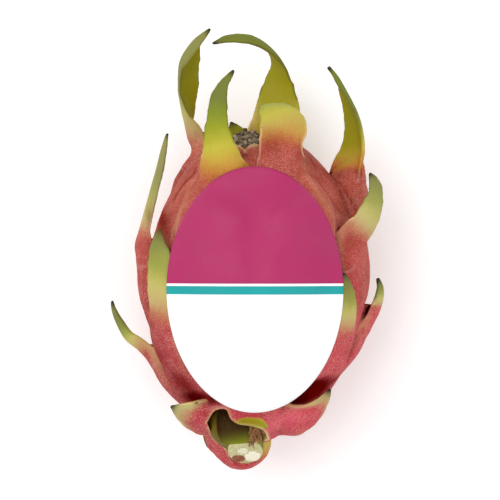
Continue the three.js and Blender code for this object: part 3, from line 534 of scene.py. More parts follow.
def marginWaves(scale, seed, length, half, free):  # how far each margin reaches, as shares of the half-width
    height = free * scaleStyle["marginWave"] * scale.get("wave", 1) / max(half, 2)
    return [1 + height * sum(strength * math.sin(length * rate + seed * phase * k)
                             for rate, strength, phase in scaleStyle["waves"]) for k in (1, 2)]


def scaleRing(place, side, out, reach, fall, depth):  # outer face, rounded margin, inner face, margin
    skin = place + side * reach[:, None] - out * fall[:, None]
    inner = skin - out * depth[:, None]
    margins = [(skin[k] + inner[k]) / 2 + side * way * depth[k] * 0.45 for k, way in ((-1, 1), (0, -1))]
    ring = np.vstack([skin, [margins[0]], inner[::-1], [margins[1]]])
    ring[:, 2] += max(0, -axisHeight + scaleStyle["floorGap"] - ring[:, 2].min())
    return ring


def scaleSkin(scale, seed):  # a closed skin, with the numbers that colour it
    rows = scaleRows(scale)
    steps = scaleStyle["steps"]
    middles, outs = smoothCurve(rows[:, :3], steps), smoothCurve(rows[:, 3:6], steps)
    half, sag, sink = smoothCurve(rows[:, 6:9], steps).T
    thick = smoothCurve(rows[:, 9:], steps)[:, 0]
    along = unit(np.gradient(middles, axis=0))
    outs = unit(outs - along * np.sum(outs * along, axis=1, keepdims=True))
    sides = np.cross(along, outs)
    length = np.r_[0, np.cumsum(np.linalg.norm(np.diff(middles, axis=0), axis=1))]
    foot = length[len(scaleStyle["plateClimbs"]) * steps] if "at" in scale else 0.0
    share = (length - foot) / (length[-1] - foot)
    free = smoothstep(-0.05, 0.2, share)
    toTip = length[-1] - length
    half = half * (1 - 0.5 * scale.get("tip", 1) * (1 - smoothstep(0, scaleStyle["tipTaper"], toTip)))
    q = np.linspace(-1, 1, scaleStyle["columns"])
    rings, reaches = [], []
    for i, middle in enumerate(middles):
        waves = marginWaves(scale, seed, length[i], half[i], free[i])
        reach = q * half[i] * np.where(q < 0, waves[0], waves[1])
        fall = sag[i] * q**2 + sink[i] * np.abs(q) ** (3 + 5 * (1 - free[i]))
        depth = np.maximum(scaleStyle["marginThick"], thick[i] * (1 - 0.6 * np.abs(q) ** 2.5))
        rings.append(scaleRing(middle, sides[i], outs[i], reach, fall, np.minimum(depth, thick[i])))
        reaches.append(np.r_[reach, reach[-1], reach[::-1], reach[0]] * 0.1)
    points, faces = closedTube(rings)
    around = len(rings[0])
    spread = lambda rowValues: np.r_[np.repeat(rowValues, around), rowValues[0], rowValues[-1]]
    edges = np.tile(np.r_[np.abs(q), 1, np.abs(q[::-1]), 1], len(rings))
    inner = np.r_[np.tile(np.r_[np.zeros(len(q)), 0.5, np.ones(len(q)), 0.5], len(rings)), 0, 0]
    start, end = scale["green"]
    dryTip = 1 - smoothstep(0.4, scale.get("tipReach", scaleStyle["tipReach"]), toTip)
    onPlate = spread((1 - free) * smoothstep(-1.2, -0.2, share))
    return points, faces, {
        "ripe": spread(np.clip((share - start) / (end - start), 0, 1)),
        "free": spread(free) * (1 - scale.get("fused", 0)),
        "tip": spread(dryTip) * scale.get("tip", 1),
        "pale": np.full(len(points), scale.get("pale", 0)),
        "edge": np.r_[edges, 0, 1] * spread(free) * scale.get("rim", 1),
        "seam": smoothstep(0.78, 0.9, np.r_[edges, 0, 0]) * onPlate * scale.get("seam", 1),
        "wrinkled": spread(smoothstep(0.58, 0.72, share)) * scale.get("wrinkled", 0),
        "inside": np.maximum(inner * spread(smoothstep(-0.2, 0.02, share)), scale.get("inside", 0)),
        "dark": np.full(len(points), scale.get("dark", 0.0)),
        "across": np.r_[np.ravel(reaches), 0, 0],
        "along": spread(length * 0.1 + seed * 3),
    }


# The places of the stub and of the dried flower. A section of the stub is a place, the way it looks, its
# half-width and its half-height.
stub = {
    "sections": [
        ((-7.6, -44, 3.6), (0.04, -1, 0.02), 8.6, 7.4),
        ((-7.8, -49.5, 4.6), (0.08, -1, 0.05), 10, 8.6),
        ((-7.4, -54.6, 5.2), (0.16, -1, 0.1), 10, 8.6),
        ((-5.9, -58.4, 5.6), (0.2, -1, 0.2), 8.6, 8.3),
        ((-4.4, -61.2, 5.8), (0.1, -1, 0.36), 6.9, 8),
        ((-4, -63.4, 6), (0.08, -0.8, 0.58), 6.5, 8),
    ],
    "outline": [
        (-0.98, 0.1), (-0.9, 0.5), (-0.62, 0.92), (-0.4, 1), (0, 0.94), (0.45, 0.86), (0.8, 0.62), (1, 0.2),
        (0.98, -0.25), (0.78, -0.62), (0.45, -0.86), (0, -1), (-0.45, -0.88), (-0.8, -0.56),
    ],
    "mouthGap": 0.3,
    "gap": 0.2,
    "backReach": 1,  # how far the cutters reach past the first and the last section
    "mouthReach": 5,
    "notchFloor": 2,
    "notchHeight": 30,
    "rimPoints": 400,  # how far along the outline the torn rim runs
    "rimBelow": -44,  # the torn rim lies below this y
    "rimWidth": (0.3, 1.1),
    "rimAbove": (3.5, 5),
    "rimBright": (1.4, 1.8),  # how pale it is, and how much paler at its lower end
    "rimLowEnd": (-55, -58),
    "notch": [
        (-18.5, -51.5), (-15.4, -46.8), (-11.3, -46.2), (-9.4, -50), (-6.8, -51.8), (-1.9, -52.6),
        (2.6, -54.3), (4, -57), (4.4, -63), (2, -69), (-3, -70.4), (-6.6, -68.6), (-9.4, -66.2),
        (-10.2, -63.4), (-12, -60.6), (-14.8, -58.8), (-16.6, -56.4),
    ],
}
flower = {
    "radius": 6.2,
    "depth": 3.6,
    "centre": (-3.1, 54.2, 9.4),
    "lean": 30,
    "bowl": ((0.95, 0), (1.23, 14)),  # shares of the radius, and heights, of the room round it
    "bowlSpokes": 40,
}


def sectionRing(section, outline, gap=0.0, beyond=0.0):
    place, look, wide, tall = section
    way = unit(look)
    side = unit(np.cross(way, (0, 0, 1)))
    up = np.cross(side, way)
    a, b = np.asarray(outline).T
    middle = np.asarray(place) + way * beyond
    return middle - side * (a * (wide + gap))[:, None] + up * (b * (tall + gap))[:, None]


def stubCutter(gap, first):  # the room for the stub, from one of its sections to past its end
    sections = stub["sections"][first:]
    beyond = [-stub["backReach"]] + [0] * (len(sections) - 2) + [stub["mouthReach"]]
    return closedTube([sectionRing(s, stub["outline"], gap, b) for s, b in zip(sections, beyond)])


def notchLine(steps):
    return smoothCurve(stub["notch"] + stub["notch"][:1], steps)[:-1]


def notchCutter():
    low = stub["sections"][1][0][2] + stub["notchFloor"]
    return prism(notchLine(4), low, low + stub["notchHeight"])


def faced(points):  # turns points that were made facing +Z to face out of the flower end
    angle = math.radians(flower["lean"] - 90)
    x, y, z = np.asarray(points, float).T
    turned = [x, y * math.cos(angle) - z * math.sin(angle), y * math.sin(angle) + z * math.cos(angle)]
    return np.stack(turned, 1) + flower["centre"]


def flowerCutter():  # a bowl that widens outwards
    gap, around = stub["gap"], anglesOf(flower["bowlSpokes"])
    rings = [hoop(flower["radius"] * share + gap, height - flower["depth"] - gap, around)
             for share, height in flower["bowl"]]
    return closedTube([faced(ring) for ring in rings])


def floorCutter():
    far, deep = 100, 20
    return prism([(-far, -far), (far, -far), (far, far), (-far, far)], -axisHeight - deep, -axisHeight)


# The fruit: the body and its scales joined, smoothed, and cut for the stub, the flower and the floor.
fruitMake = {
    "voxel": 0.3,
    "faces": 190000,
    "softening": 5,
    "melted": (((10.6, -50), 5.5), ((-28.5, 34), 8), ((26.5, 37), 7)),  # places and reaches without furrows
    "meltRounds": 60,
    "thinBlade": ((-32.5, -34.5), (18, 22), (3, 1)),  # where its softening fades in: x, y and z
    "thinRounds": 14,
    "ridgeRounds": 40,
    "ridgeHeight": 0.22,
    "relief": 0.16,  # height of the skin's soft unevenness
    "reliefSize": (4.5, 2.2),
    "wrinkles": 0.5,
    "wrinkleSize": 1.9,
    "calmAboveFloor": (0.5, 2.5),
    "cutAway": (0.35, 1.1),  # how far a cut face lies from the skin that was there
    "creaseUp": (0, 0.35),  # how much a face looks up that carries the lines
    "creaseFree": (0.1, 0.5),  # how free a blade is where they end
    "shadeUp": (-0.1, 0.2),
    "shadeAbove": -8,
    "sharpAngle": 58,
    "pocketReach": 9,  # how near another face puts painted shade in an axil
    "pocketRays": 8,
    "pocketTurn": 2.4,
    "rayLift": 0.4,
}
undented = ("stemLeft", "stemRight", "socketLip")
dents = [  # hollows behind the scales of the stem end: place, half-length, half-width, depth, direction
    ((20.8, -41.4), 11, 4.6, 7, (0.88, 0.47)),
    ((-20, -42.4), 12, 2.8, 2.4, (0.98, 0.12)),
]
# Lines over the upper skin: places (x, y), half-width, depth (below 0 it stands up), how much painted shade
# they lay and how pale.
creases = [
    (((-22.5, 45.8), (-23.4, 42.1), (-26.6, 39.1), (-29.2, 35.4), (-31.8, 30.5)), 0.5, 0.35, 0.55, 0),
    (((-22.9, 41), (-25.1, 35.7), (-27.7, 28.8), (-30.9, 20.4), (-32, 16.7)), 0.5, -0.1, 0, 0.2),
    (((-42.9, 23), (-41.8, 19.6), (-39.8, 17.8)), 0.4, -0.3, 0, 0.5),
    (((18.5, 47.5), (23.2, 40.2), (28.7, 31.4), (34.6, 25)), 0.7, 0.5, 0.32, 0),
    (((16.9, 44), (21.4, 37), (26.4, 29.4), (32, 23)), 1, -0.3, 0, 0.15),
    (((19, 51.4), (22.2, 44.8), (25.2, 40)), 0.6, 0.4, 0.4, 0),
    (((28.6, 41.2), (31.4, 38.8), (34.6, 34), (37, 29.6), (38.8, 25.8)), 0.55, 0.5, 0.5, 0),
    (((29.4, 41.4), (32.2, 41.2), (35.4, 40)), 0.5, 0.3, 0.3, 0),
]

# Painted shade and painted light on the upper skin, partly also its own tone: place, half-length, half-width,
# direction, how much shade (below 0 painted light).
shades = [
    ((10.4, -50), 11, 5.5, (0.88, 0.47), -0.7),
    ((-19, -53), 9, 4, (0.7, -0.7), -0.3),
    ((34, 8), 16, 3, (0, 1), 0.2),
    ((20.8, -40), 8, 3.4, (0.88, 0.42), 1),
    ((-25.6, -38.6), 8, 3.4, (0.75, -0.66), 0.75),
    ((-18, -42.6), 6, 1.6, (0.98, -0.1), 0.6),
    ((-35, 23.5), 6.5, 3, (0.35, -0.94), 0.8),
    ((5.5, 52), 7, 4, (0, 1), 0.35),
    ((-43.6, 15.4), 6, 2.6, (0.1, 1), -0.3),
    ((24, 40), 8, 4, (0.55, -0.83), -0.3),
    ((-38.6, -24), 12, 3, (0.5, -0.86), 0.4),
    ((-40.4, 25), 5, 1.5, (0.2, -0.98), 0.5),
]


def offsets(points, place, way):  # distances from a place seen from above, along a direction and across it
    x, y = (points[:, :2] - place).T
    return x * way[0] + y * way[1], y * way[0] - x * way[1]


def dented(points):  # the points pushed in, and how far each one is into a hollow, kept as painted shade
    axis = unit(np.stack([points[:, 0] + bendAt(points[:, 1]), points[:, 1] * 0, points[:, 2]], 1))
    most = np.zeros(len(points))
    for place, long, wide, depth, way in dents:
        u, v = offsets(points, place, way)
        share = np.exp(-(((u / long) ** 2 + (v / wide) ** 2) ** 2)) * (points[:, 2] > 0)
        points = points - axis * (depth * share)[:, None]
        most = np.maximum(most, share * min(1, depth / 5))
    return points, most


def overCreases(points):  # how deep the creases make each place, how much painted shade they lay there, and how pale
    result = np.zeros((3, len(points)))
    deep, dark, pale = result
    for path, wide, depth, darkness, paleness in creases:
        line = smoothCurve([(x, y, 0) for x, y in path], 40)[:, :2]
        low, high = line.min(axis=0) - 2 * wide, line.max(axis=0) + 2 * wide
        boxed = np.all((points[:, :2] > low) & (points[:, :2] < high), axis=1)
        close = np.flatnonzero(boxed & (points[:, 2] > -2))
        gaps = np.linalg.norm(points[close, None, :2] - line[None], axis=2)
        ends = np.linspace(0, 1, len(line))[gaps.argmin(axis=1)]
        share = np.exp(-(gaps.min(axis=1) / wide) ** 2)
        share = share * smoothstep(0, 0.16, ends) * smoothstep(1, 0.84, ends)
        deep[close] += depth * share
        dark[close] = np.maximum(dark[close], darkness * share)
        pale[close] = np.maximum(pale[close], paleness * share)
    return result


def shaded(points):
    total = np.zeros(len(points))
    for place, long, wide, way, amount in shades:
        u, v = offsets(points, place, way)
        total += amount * np.exp(-((u / long) ** 2 + (v / wide) ** 2))
    return total


def growFruit():
    unseen = [grownScale(*s) for s in hiddenScales] + [pressedScale(*s) for s in pressedScales]
    skins = [bodySkin()]
    for seed, scale in enumerate(scales + unseen):
        points, faces, values = scaleSkin(scale, seed + 1)
        if scale["name"] not in undented:
            # painted shade in the hollows behind the scales
            points, values["dark"] = dented(points)
        skins.append((points, faces, values))
    return joined(skins)


def carried(target, points, faces, values):  # the values at the nearest place of the source skins
    triangles = trianglesOf(faces)
    tree = treeOf(points, triangles)
    where, _, found, far = zip(*(tree.find_nearest(p) for p in target))
    where = np.array(where)
    corner = np.array(triangles)[list(found)]
    a, b, c = (points[corner[:, k]] for k in range(3))
    area = np.linalg.norm(np.cross(b - a, c - a), axis=1) + tiny
    wa, wb = (np.clip(np.linalg.norm(np.cross(p - where, q - where), axis=1) / area, 0, 1)
              for p, q in ((b, c), (c, a)))
    wc = np.clip(1 - wa - wb, 0, 1)
    first, second, third = corner.T
    blended = {name: v[first] * wa + v[second] * wb + v[third] * wc for name, v in values.items()}
    return blended, np.array(far)


def pockets(points, normals, faces):  # how closed in each place is, from 0 to 1, which the skin turns into painted shade
    tree = treeOf(points, faces)
    reach, rays = fruitMake["pocketReach"], fruitMake["pocketRays"]
    helper = unit(np.cross(normals, (0.31, 0.52, 0.8)))
    other = np.cross(normals, helper)
    starts = points + normals * fruitMake["rayLift"]
    total = np.zeros(len(points))
    for ray in range(rays):
        turn = ray * fruitMake["pocketTurn"]
        tilt = 0.35 + 0.65 * ray / rays
        aside = helper * math.cos(turn) + other * math.sin(turn)
        ways = normals * math.cos(tilt) + aside * math.sin(tilt)
        for i, (start, way) in enumerate(zip(starts, ways)):
            distance = tree.ray_cast(start, way, reach)[3]
            if distance is not None:
                total[i] += 1 - distance / reach
    return total / rays


def softened(values, edges, rounds):  # averages vertex numbers with their neighbours
    values = np.asarray(values, float)
    columns = values.reshape(len(values), -1).T.copy()
    first, second = edges.T
    count = len(values)
    weight = np.maximum(np.bincount(edges.ravel(), minlength=count), 1)
    for _ in range(rounds):
        for k, column in enumerate(columns):
            total = np.bincount(first, column[second], count) + np.bincount(second, column[first], count)
            columns[k] = 0.5 * column + 0.5 * total / weight
    return columns.T.reshape(values.shape)


def smoothFruit(mesh):
    edges = edgesOf(mesh)
    points = softened(pointsOf(mesh), edges, fruitMake["softening"])
    melted = softened(points, edges, fruitMake["meltRounds"])
    for (x, y), reach in fruitMake["melted"]:
        gaps = np.hypot(points[:, 0] - x, points[:, 1] - y)
        near = smoothstep(reach, 0.5 * reach, gaps) * smoothstep(2, 6, points[:, 2])
        points += (melted - points) * near[:, None]
    x, y, z = (smoothstep(*ends, points[:, k]) for k, ends in enumerate(fruitMake["thinBlade"]))
    points += (softened(points, edges, fruitMake["thinRounds"]) - points) * (x * y * z)[:, None]
    movePoints(mesh, points)


def measureRidges(mesh):  # above 0 on ridges and below 0 in furrows, and a tree that finds their places
    points, edges = pointsOf(mesh), edgesOf(mesh)
    broad = softened(points, edges, fruitMake["ridgeRounds"])
    height = np.sum((points - broad) * normalsOf(mesh), axis=1)
    return softened(np.clip(height / fruitMake["ridgeHeight"], -1, 1), edges, 4), pointTree(points)


def pointTree(points):
    tree = KDTree(len(points))
    for index, point in enumerate(points):
        tree.insert(point, index)
    tree.balance()
    return tree


def mouthRim(points):  # the pale torn rim round the notch
    line = notchLine(24)[:stub["rimPoints"]]
    mouth = pointTree(np.c_[line, np.zeros(len(line))])
    away = np.array([mouth.find((x, y, 0))[2] if y < stub["rimBelow"] else math.inf for x, y, z in points])
    bright, more = stub["rimBright"]
    bright = bright + more * smoothstep(*stub["rimLowEnd"], points[:, 1])
    return bright * (1 - smoothstep(*stub["rimWidth"], away)) * smoothstep(*stub["rimAbove"], points[:, 2])


def finishFruit(mesh):  # adds creases, wrinkles and unevenness, and the values that colour the skin
    points, normals, edges = pointsOf(mesh), normalsOf(mesh), edgesOf(mesh)
    values, far = carried(points, *source)
    values = {name: softened(numbers, edges, 2) for name, numbers in values.items()}
    values["cut"] = smoothstep(*fruitMake["cutAway"], far)
    values["ridge"] = ridgeHeights[[ridgePlaces.find(p)[1] for p in points]]
    up, upper = normals[:, 2], 1 - smoothstep(*fruitMake["creaseFree"], values["free"])
    deep, dark, pale = overCreases(points) * (smoothstep(*fruitMake["creaseUp"], up) * upper)
    # painted shade, and below 0 painted light, from the shades table
    lit = shaded(points) * smoothstep(*fruitMake["shadeUp"], up) * (points[:, 2] > fruitMake["shadeAbove"])
    values["dark"] = np.clip(np.maximum(values["dark"], dark) + lit, -1, 1)
    values["seam"] = np.maximum(np.maximum(values["seam"], mouthRim(points)), 2 * pale)
    wrinkles = wander(points * (0.7, 1.2, 1), fruitMake["wrinkleSize"], 2, 5) * fruitMake["wrinkles"]
    points = points - normals * (deep - wrinkles * values["wrinkled"])[:, None]
    large, small = fruitMake["reliefSize"]
    rough = wander(points, large, 3) * 0.7 + wander(points * (1, 0.35, 1), small, 2, 7) * 0.3
    low, high = (height - axisHeight for height in fruitMake["calmAboveFloor"])
    calm = (1 - values["cut"]) * smoothstep(low, high, points[:, 2]) * (1 - 0.6 * values["free"])
    points = points + normals * (rough * calm * fruitMake["relief"])[:, None]
    movePoints(mesh, points)
    values["pocket"] = softened(pockets(points, normals, facesOf(mesh)), edges, 3)
    storeValues(mesh, values)
    mesh.shade_smooth()
    mesh.set_sharp_from_angle(angle=math.radians(fruitMake["sharpAngle"]))


source = growFruit()
fruit = makeObject("fruitSkin", *source[:2])
applied(fruit, "REMESH", mode="VOXEL", voxel_size=fruitMake["voxel"] * millimetre, use_smooth_shade=True)
print("body and scales joined:", len(fruit.data.polygons), "faces")
smoothFruit(fruit.data)
ridgeHeights, ridgePlaces = measureRidges(fruit.data)
print("ridges measured")
cuts = [stubCutter(stub["mouthGap"], 1), stubCutter(stub["gap"], 0), notchCutter(), flowerCutter()]
for skin in cuts + [floorCutter()]:
    cutter = makeObject("cutter", *skin)
    applied(fruit, "BOOLEAN", object=cutter, operation="DIFFERENCE", solver="MANIFOLD")
    bpy.data.objects.remove(cutter, do_unlink=True)
print("sockets cut:", len(fruit.data.polygons), "faces")
fruit.data.calc_loop_triangles()
share = fruitMake["faces"] / len(fruit.data.loop_triangles)
applied(fruit, "DECIMATE", ratio=share, use_collapse_triangulate=True)
print("fruit thinned to", len(fruit.data.polygons), "faces")
finishFruit(fruit.data)
print("fruit finished")


# The sticker is a stiff film that sinks onto the fruit until the scales hold it.
label = {
    "halfWidth": 32.8,
    "halfLength": 45.8,
    "centre": (-0.5, -1.5),
    "thick": 0.3,
    "lift": 0.12,
    "pitch": 1.1,  # of the net that finds its height
    "netRim": 2.2,  # how far the net reaches past the sticker
    "dropHeight": 90,
    "press": 0.012,  # how hard it is pressed down, each round
    "rounds": 260,
    "rings": 40,
    "spokes": 132,
}


def netLine(half, middle):
    return np.arange(-half - label["netRim"], half + label["netRim"] + 0.1, label["pitch"]) + middle


def drapeLabel():  # lets a stiff net sink onto the fruit
    tree = treeOf(pointsOf(fruit.data), facesOf(fruit.data))
    xs, ys = netLine(label["halfWidth"], label["centre"][0]), netLine(label["halfLength"], label["centre"][1])
    ground = np.empty((len(ys), len(xs)))
    for j, y in enumerate(ys):
        for i, x in enumerate(xs):
            hit = tree.ray_cast(Vector((x, y, label["dropHeight"])), Vector((0, 0, -1)))[0]
            ground[j, i] = hit.z if hit else 0
    ground += label["lift"]
    padded = np.pad(ground, 1, mode="edge")
    near = [padded[1 + j:len(ys) + 1 + j, 1 + i:len(xs) + 1 + i] for j in (-1, 0, 1) for i in (-1, 0, 1)]
    highest = np.maximum.reduce(near)
    least = highest * 0.5 + ground * 0.5
    height = highest + 0.5
    for _ in range(label["rounds"]):
        wide = np.pad(height, 1, mode="reflect", reflect_type="odd")
        mean = (wide[:-2, 1:-1] + wide[2:, 1:-1] + wide[1:-1, :-2] + wide[1:-1, 2:]) / 4
        height = np.maximum(least, mean - label["press"])
    return xs, ys, height


def sampled(xs, ys, height, x, y):  # height between the net's points
    u = np.clip((np.asarray(x) - xs[0]) / label["pitch"], 0, len(xs) - 1.001)
    v = np.clip((np.asarray(y) - ys[0]) / label["pitch"], 0, len(ys) - 1.001)
    i, j = u.astype(int), v.astype(int)
    u, v = u - i, v - j
    return ((height[j, i] * (1 - u) + height[j, i + 1] * u) * (1 - v)
            + (height[j + 1, i] * (1 - u) + height[j + 1, i + 1] * u) * v)


def makeLabel():
    net = drapeLabel()
    (cx, cy), thick = label["centre"], label["thick"]
    angles = anglesOf(label["spokes"])
    bottom = []
    for share in np.arange(1, label["rings"] + 1) / label["rings"]:
        x = cx + share * label["halfWidth"] * np.cos(angles)
        y = cy + share * label["halfLength"] * np.sin(angles)
        bottom.append(np.stack([x, y, sampled(*net, x, y)], 1))
    top = [ring + (0, 0, thick) for ring in bottom]
    cz = float(sampled(*net, cx, cy))
    return makeObject("sticker", *closedTube(top + bottom[::-1], (cx, cy, cz + thick), (cx, cy, cz)))


sticker = makeLabel()
print("sticker laid")

# The stub of the stem. Its outline is in shares of a section's half-width and half-height.
stubLook = {
    "outline": [
        (-1, 0.02), (-0.98, 0.42), (-0.87, 0.78), (-0.7, 0.99), (-0.6, 0.84), (0, 0.82), (0.5, 0.86),
        (0.7, 0.82), (0.9, 0.52), (1, 0.15), (0.98, -0.25), (0.78, -0.62), (0.45, -0.86), (0, -1),
        (-0.45, -0.88), (-0.8, -0.56),
    ],
    "endRidge": [(-1, 0.02), (-1, 0.3), (-0.97, 0.58), (-0.9, 0.82), (-0.76, 0.84)],  # the ridge moves aside
    "edgePoints": 9,  # between two corners of the outline
    "softening": 3,
    "cutRings": 26,
    "spots": {  # place and reach on the cut face; the core is its white middle
        "core": ((0.38, -0.3), (0.5, 0.46)),
        "knot": ((-0.16, 0.26), (0.36, 0.27)),
        "papery": ((-0.45, -0.46), (0.4, 0.36)),
    },
    "rises": {"core": 0.55, "knot": 0.35, "papery": -0.7},
    "rimRise": 0.25,
}


def blob(u, v, spot):  # 1 inside an oval spot, falling to 0 at its edge
    (cu, cv), (ru, rv) = spot
    return 1 - smoothstep(0.7, 1.15, np.hypot((u - cu) / ru, (v - cv) / rv))


def softLoop(corners):  # a closed outline through the corners, softened
    corners = np.array(corners)
    shares = np.arange(stubLook["edgePoints"])[:, None] / stubLook["edgePoints"]
    outline = np.vstack([a + (b - a) * shares for a, b in zip(corners, np.roll(corners, -1, axis=0))])
    for _ in range(stubLook["softening"]):
        outline = (np.roll(outline, 1, axis=0) + 2 * outline + np.roll(outline, -1, axis=0)) / 4
    return outline


def makeStub():
    corners, moved = stubLook["outline"], stubLook["endRidge"]
    start, end = softLoop(corners), softLoop(moved + corners[len(moved):])
    path = smoothCurve([(*p, *unit(look), wide, tall) for p, look, wide, tall in stub["sections"]], 12)
    sections = [(row[:3], row[3:6], row[6], row[7]) for row in path]
    count, spots, last = len(path), stubLook["spots"], sections[-1]
    rings = [sectionRing(section, start + (end - start) * late)
             for section, late in zip(sections, smoothstep(0.35, 0.75, np.linspace(0, 1, count)))]
    flats = [end * 0] * count
    for k in range(1, stubLook["cutRings"]):
        share = 1 - k / stubLook["cutRings"]
        flat = end * share
        u, v = flat.T
        inSpots = {name: blob(u, v, spot) for name, spot in spots.items()}
        rise = stubLook["rimRise"] * smoothstep(1, 0.92, share)
        for name in spots:
            rise = rise + stubLook["rises"][name] * inSpots[name]
        rise += 0.16 * np.sin(u * 9 + 2 * np.sin(v * 7)) * (1 - inSpots["core"])
        rings.append(sectionRing(last, flat) + unit(last[1]) * rise[:, None])
        flats.append(flat)
    points, faces = closedTube(rings)
    around = len(end)
    face = np.r_[np.repeat(np.arange(len(rings)) >= count - 1, around).astype(float), 0, 1]
    u, v = np.vstack(flats + [[(0, 0)], [(0, 0)]]).T
    down = np.r_[np.linspace(0, 1, count), np.ones(len(rings) - count)]
    values = {
        "face": face,
        "down": np.r_[np.repeat(down, around), 0, 1],
        "spin": np.r_[np.tile(np.arange(around) / around, len(rings)), 0, 0],
        **{name: blob(u, v, spot) * face for name, spot in spots.items()},
    }
    outward = unit(points - (np.array([-6, 0, 5]) + points * (0, 1, 0)))
    rough = wander(points, 2.4, 3) * np.where(face > 0, 0.05, 0.16)
    return makeObject("stemStub", points + outward * rough[:, None], faces, values)


stemStub = makeStub()
print("stub made")


def strip(path, widths, thick, facing):  # a closed narrow blade along a path
    along = unit(np.gradient(path, axis=0))
    side = unit(np.cross(along, unit(facing)))
    up = np.cross(side, along)
    shape = [(-1, 0), (-0.6, 0.5), (0.6, 0.5), (1, 0), (0.6, -0.5), (-0.6, -0.5)]
    return closedTube([p + np.array([s * a * w / 2 + u * b * thick for a, b in shape])
                       for p, s, u, w in zip(path, side, up, widths)])


# Papery flakes and strands that hang from the lip over the stub.
fibres = {
    "flakes": 9,
    "strands": 14,
    "from": (-2.2, 3),  # across, under the lip
    "startY": -52.8,
    "startZ": 14.4,
    "flakeLength": (4, 8.5),
    "strandLength": (3.5, 9),
    "thick": 0.24,
}


def makeFibre(k):
    wide = k < fibres["flakes"]
    share, spin = (k * 0.618) % 1, (k * 0.381) % 1
    low, high = fibres["flakeLength" if wide else "strandLength"]
    left, right = fibres["from"]
    t = np.linspace(0, 1, 16)
    x = (left + (right - left) * share + 1.1 * math.sin(k * 2.1) * t**2
         + (0.3 if wide else 0.45) * np.sin(t * 8 + k))
    y = fibres["startY"] - (low + (high - low) * spin) * t
    z = (fibres["startZ"] - 0.9 * (share > 0.7) - (1.4 + 2.4 * ((k * 0.29) % 1)) * t**1.4
         + 0.35 * np.sin(t * 6 + 2 * k) + (0 if wide else 0.4))
    widths = (1.1 + 0.9 * ((k * 0.47) % 1) if wide else 0.28 + 0.22 * spin) * (1 - 0.7 * t**1.6)
    widths *= 1 + 0.22 * np.sin(t * 23 + k)
    points, faces = strip(np.stack([x, y, z], 1), widths, fibres["thick"], (0.9 * math.sin(k * 1.3), 0.2, 1))
    return crumpled(points, 1.1, 0.22), faces


fibreCount = fibres["flakes"] + fibres["strands"]
stemFibres = makeObject("stemFibres", *joined([makeFibre(k) for k in range(fibreCount)]))
print("fibres made")

# The dried flower: a disc with rows of petals on it, made facing +Z.
flowerLook = {
    "petals": ((17, 5.5, 2.3, 3.4), (12, 3.9, 2, 3), (7, 2, 1.8, 2.6)),  # count, radius, width, height
    "petalThick": 0.42,
    "disc": ((0.9, -2), (0.97, 0), (0.98, 1), (0.9, 1.5), (0.7, 1.2), (0.4, 1.4), (0.15, 1.5)),
    "waves": ((3, 0.06, 1), (7, 0.04, 0), (17, 0.02, 0)),  # waves round it, their strength and phase
    "spokes": 44,
}


def flowerDisc():
    around = anglesOf(flowerLook["spokes"])
    waves = (strength * np.sin(count * around + phase) for count, strength, phase in flowerLook["waves"])
    wavy = sum(waves, 1)
    rows = [(0.8, -flower["depth"]), *flowerLook["disc"]]
    rings = [hoop(share * flower["radius"] * wavy, height, around) for share, height in rows]
    return closedTube(rings, (0, 0, -flower["depth"]), (0, 0, 1.6))


def makePetal(row, k, number, radius, width, tall):
    angle = (k + 0.37 * math.sin(k * 3.3 + row)) / number * 2 * math.pi + row
    height = tall * (0.72 + 0.28 * math.sin(k * 2.7 + row * 2))
    lean = 0.5 * math.sin(k * 4.1 + row) - 0.25
    t = np.linspace(0, 1, 9)
    way = np.array([math.cos(angle), math.sin(angle), 0])
    across = np.array([-way[1], way[0], 0])
    path = (way * radius + np.outer(t**2, way * lean * 1.6 + across * 0.7 * math.sin(k * 1.9))
            + np.outer(t * height - 0.6, (0, 0, 1)))
    widths = width * (0.75 + 0.3 * np.sin(t * 3 + k)) * (1 - 0.55 * t**3)
    return strip(path, widths, flowerLook["petalThick"], way + 0.3 * across * math.sin(k * 5))


def makeFlower():
    parts = [flowerDisc()] + [makePetal(row, k, *petals) for row, petals in enumerate(flowerLook["petals"])
                              for k in range(petals[0])]
    parts = [(crumpled(faced(points), 1.3, 0.3), faces) for points, faces in parts]
    return makeObject("driedFlower", *joined(parts))


driedFlower = makeFlower()
print("flower made")


# Colours and nodes for the materials.
def srgb(red, green, blue):
    shares = [v / 255 for v in (red, green, blue)]
    return (*(v / 12.92 if v <= 0.04045 else ((v + 0.055) / 1.055) ** 2.4 for v in shares), 1)


def addNode(tree, kind, inputs=None, **settings):
    node = tree.nodes.new(kind)
    for key, value in settings.items():
        setattr(node, key, value)
    for key, value in (inputs or {}).items():
        if isinstance(value, bpy.types.NodeSocket):
            tree.links.new(value, node.inputs[key])
        else:
            node.inputs[key].default_value = value
    return node


def calc(tree, operation, *values):
    return addNode(tree, "ShaderNodeMath", dict(enumerate(values)), operation=operation).outputs[0]


def times(tree, first, second):
    return calc(tree, "MULTIPLY", first, second)


def plus(tree, first, second):
    return calc(tree, "ADD", first, second)


def remap(tree, value, low, high, newLow=0.0, newHigh=1.0):
    return addNode(tree, "ShaderNodeMapRange", {0: value, 1: low, 2: high, 3: newLow, 4: newHigh},
                   interpolation_type="SMOOTHSTEP").outputs[0]


def mixed(tree, factor, first, second):
    return addNode(tree, "ShaderNodeMix", {0: factor, 6: first, 7: second}, data_type="RGBA").outputs[2]


def layered(tree, colour, *layers):  # each layer is a mask and the colour that it lays over the rest
    for mask, tone in layers:
        colour = mixed(tree, mask, colour, tone)
    return colour


def ramped(tree, factor, stops):
    node = addNode(tree, "ShaderNodeValToRGB", {0: factor})
    elements = node.color_ramp.elements
    while len(elements) < len(stops):
        elements.new(0.5)
    for element, (place, colour) in zip(elements, stops):
        element.position, element.color = place, srgb(*colour)
    return node.outputs[0]


def vertexValues(tree, names):
    nodes = [addNode(tree, "ShaderNodeAttribute", attribute_name=name) for name in names.split()]
    return [node.outputs["Fac"] for node in nodes]


def coordinates(tree):
    return addNode(tree, "ShaderNodeTexCoord").outputs["Object"]


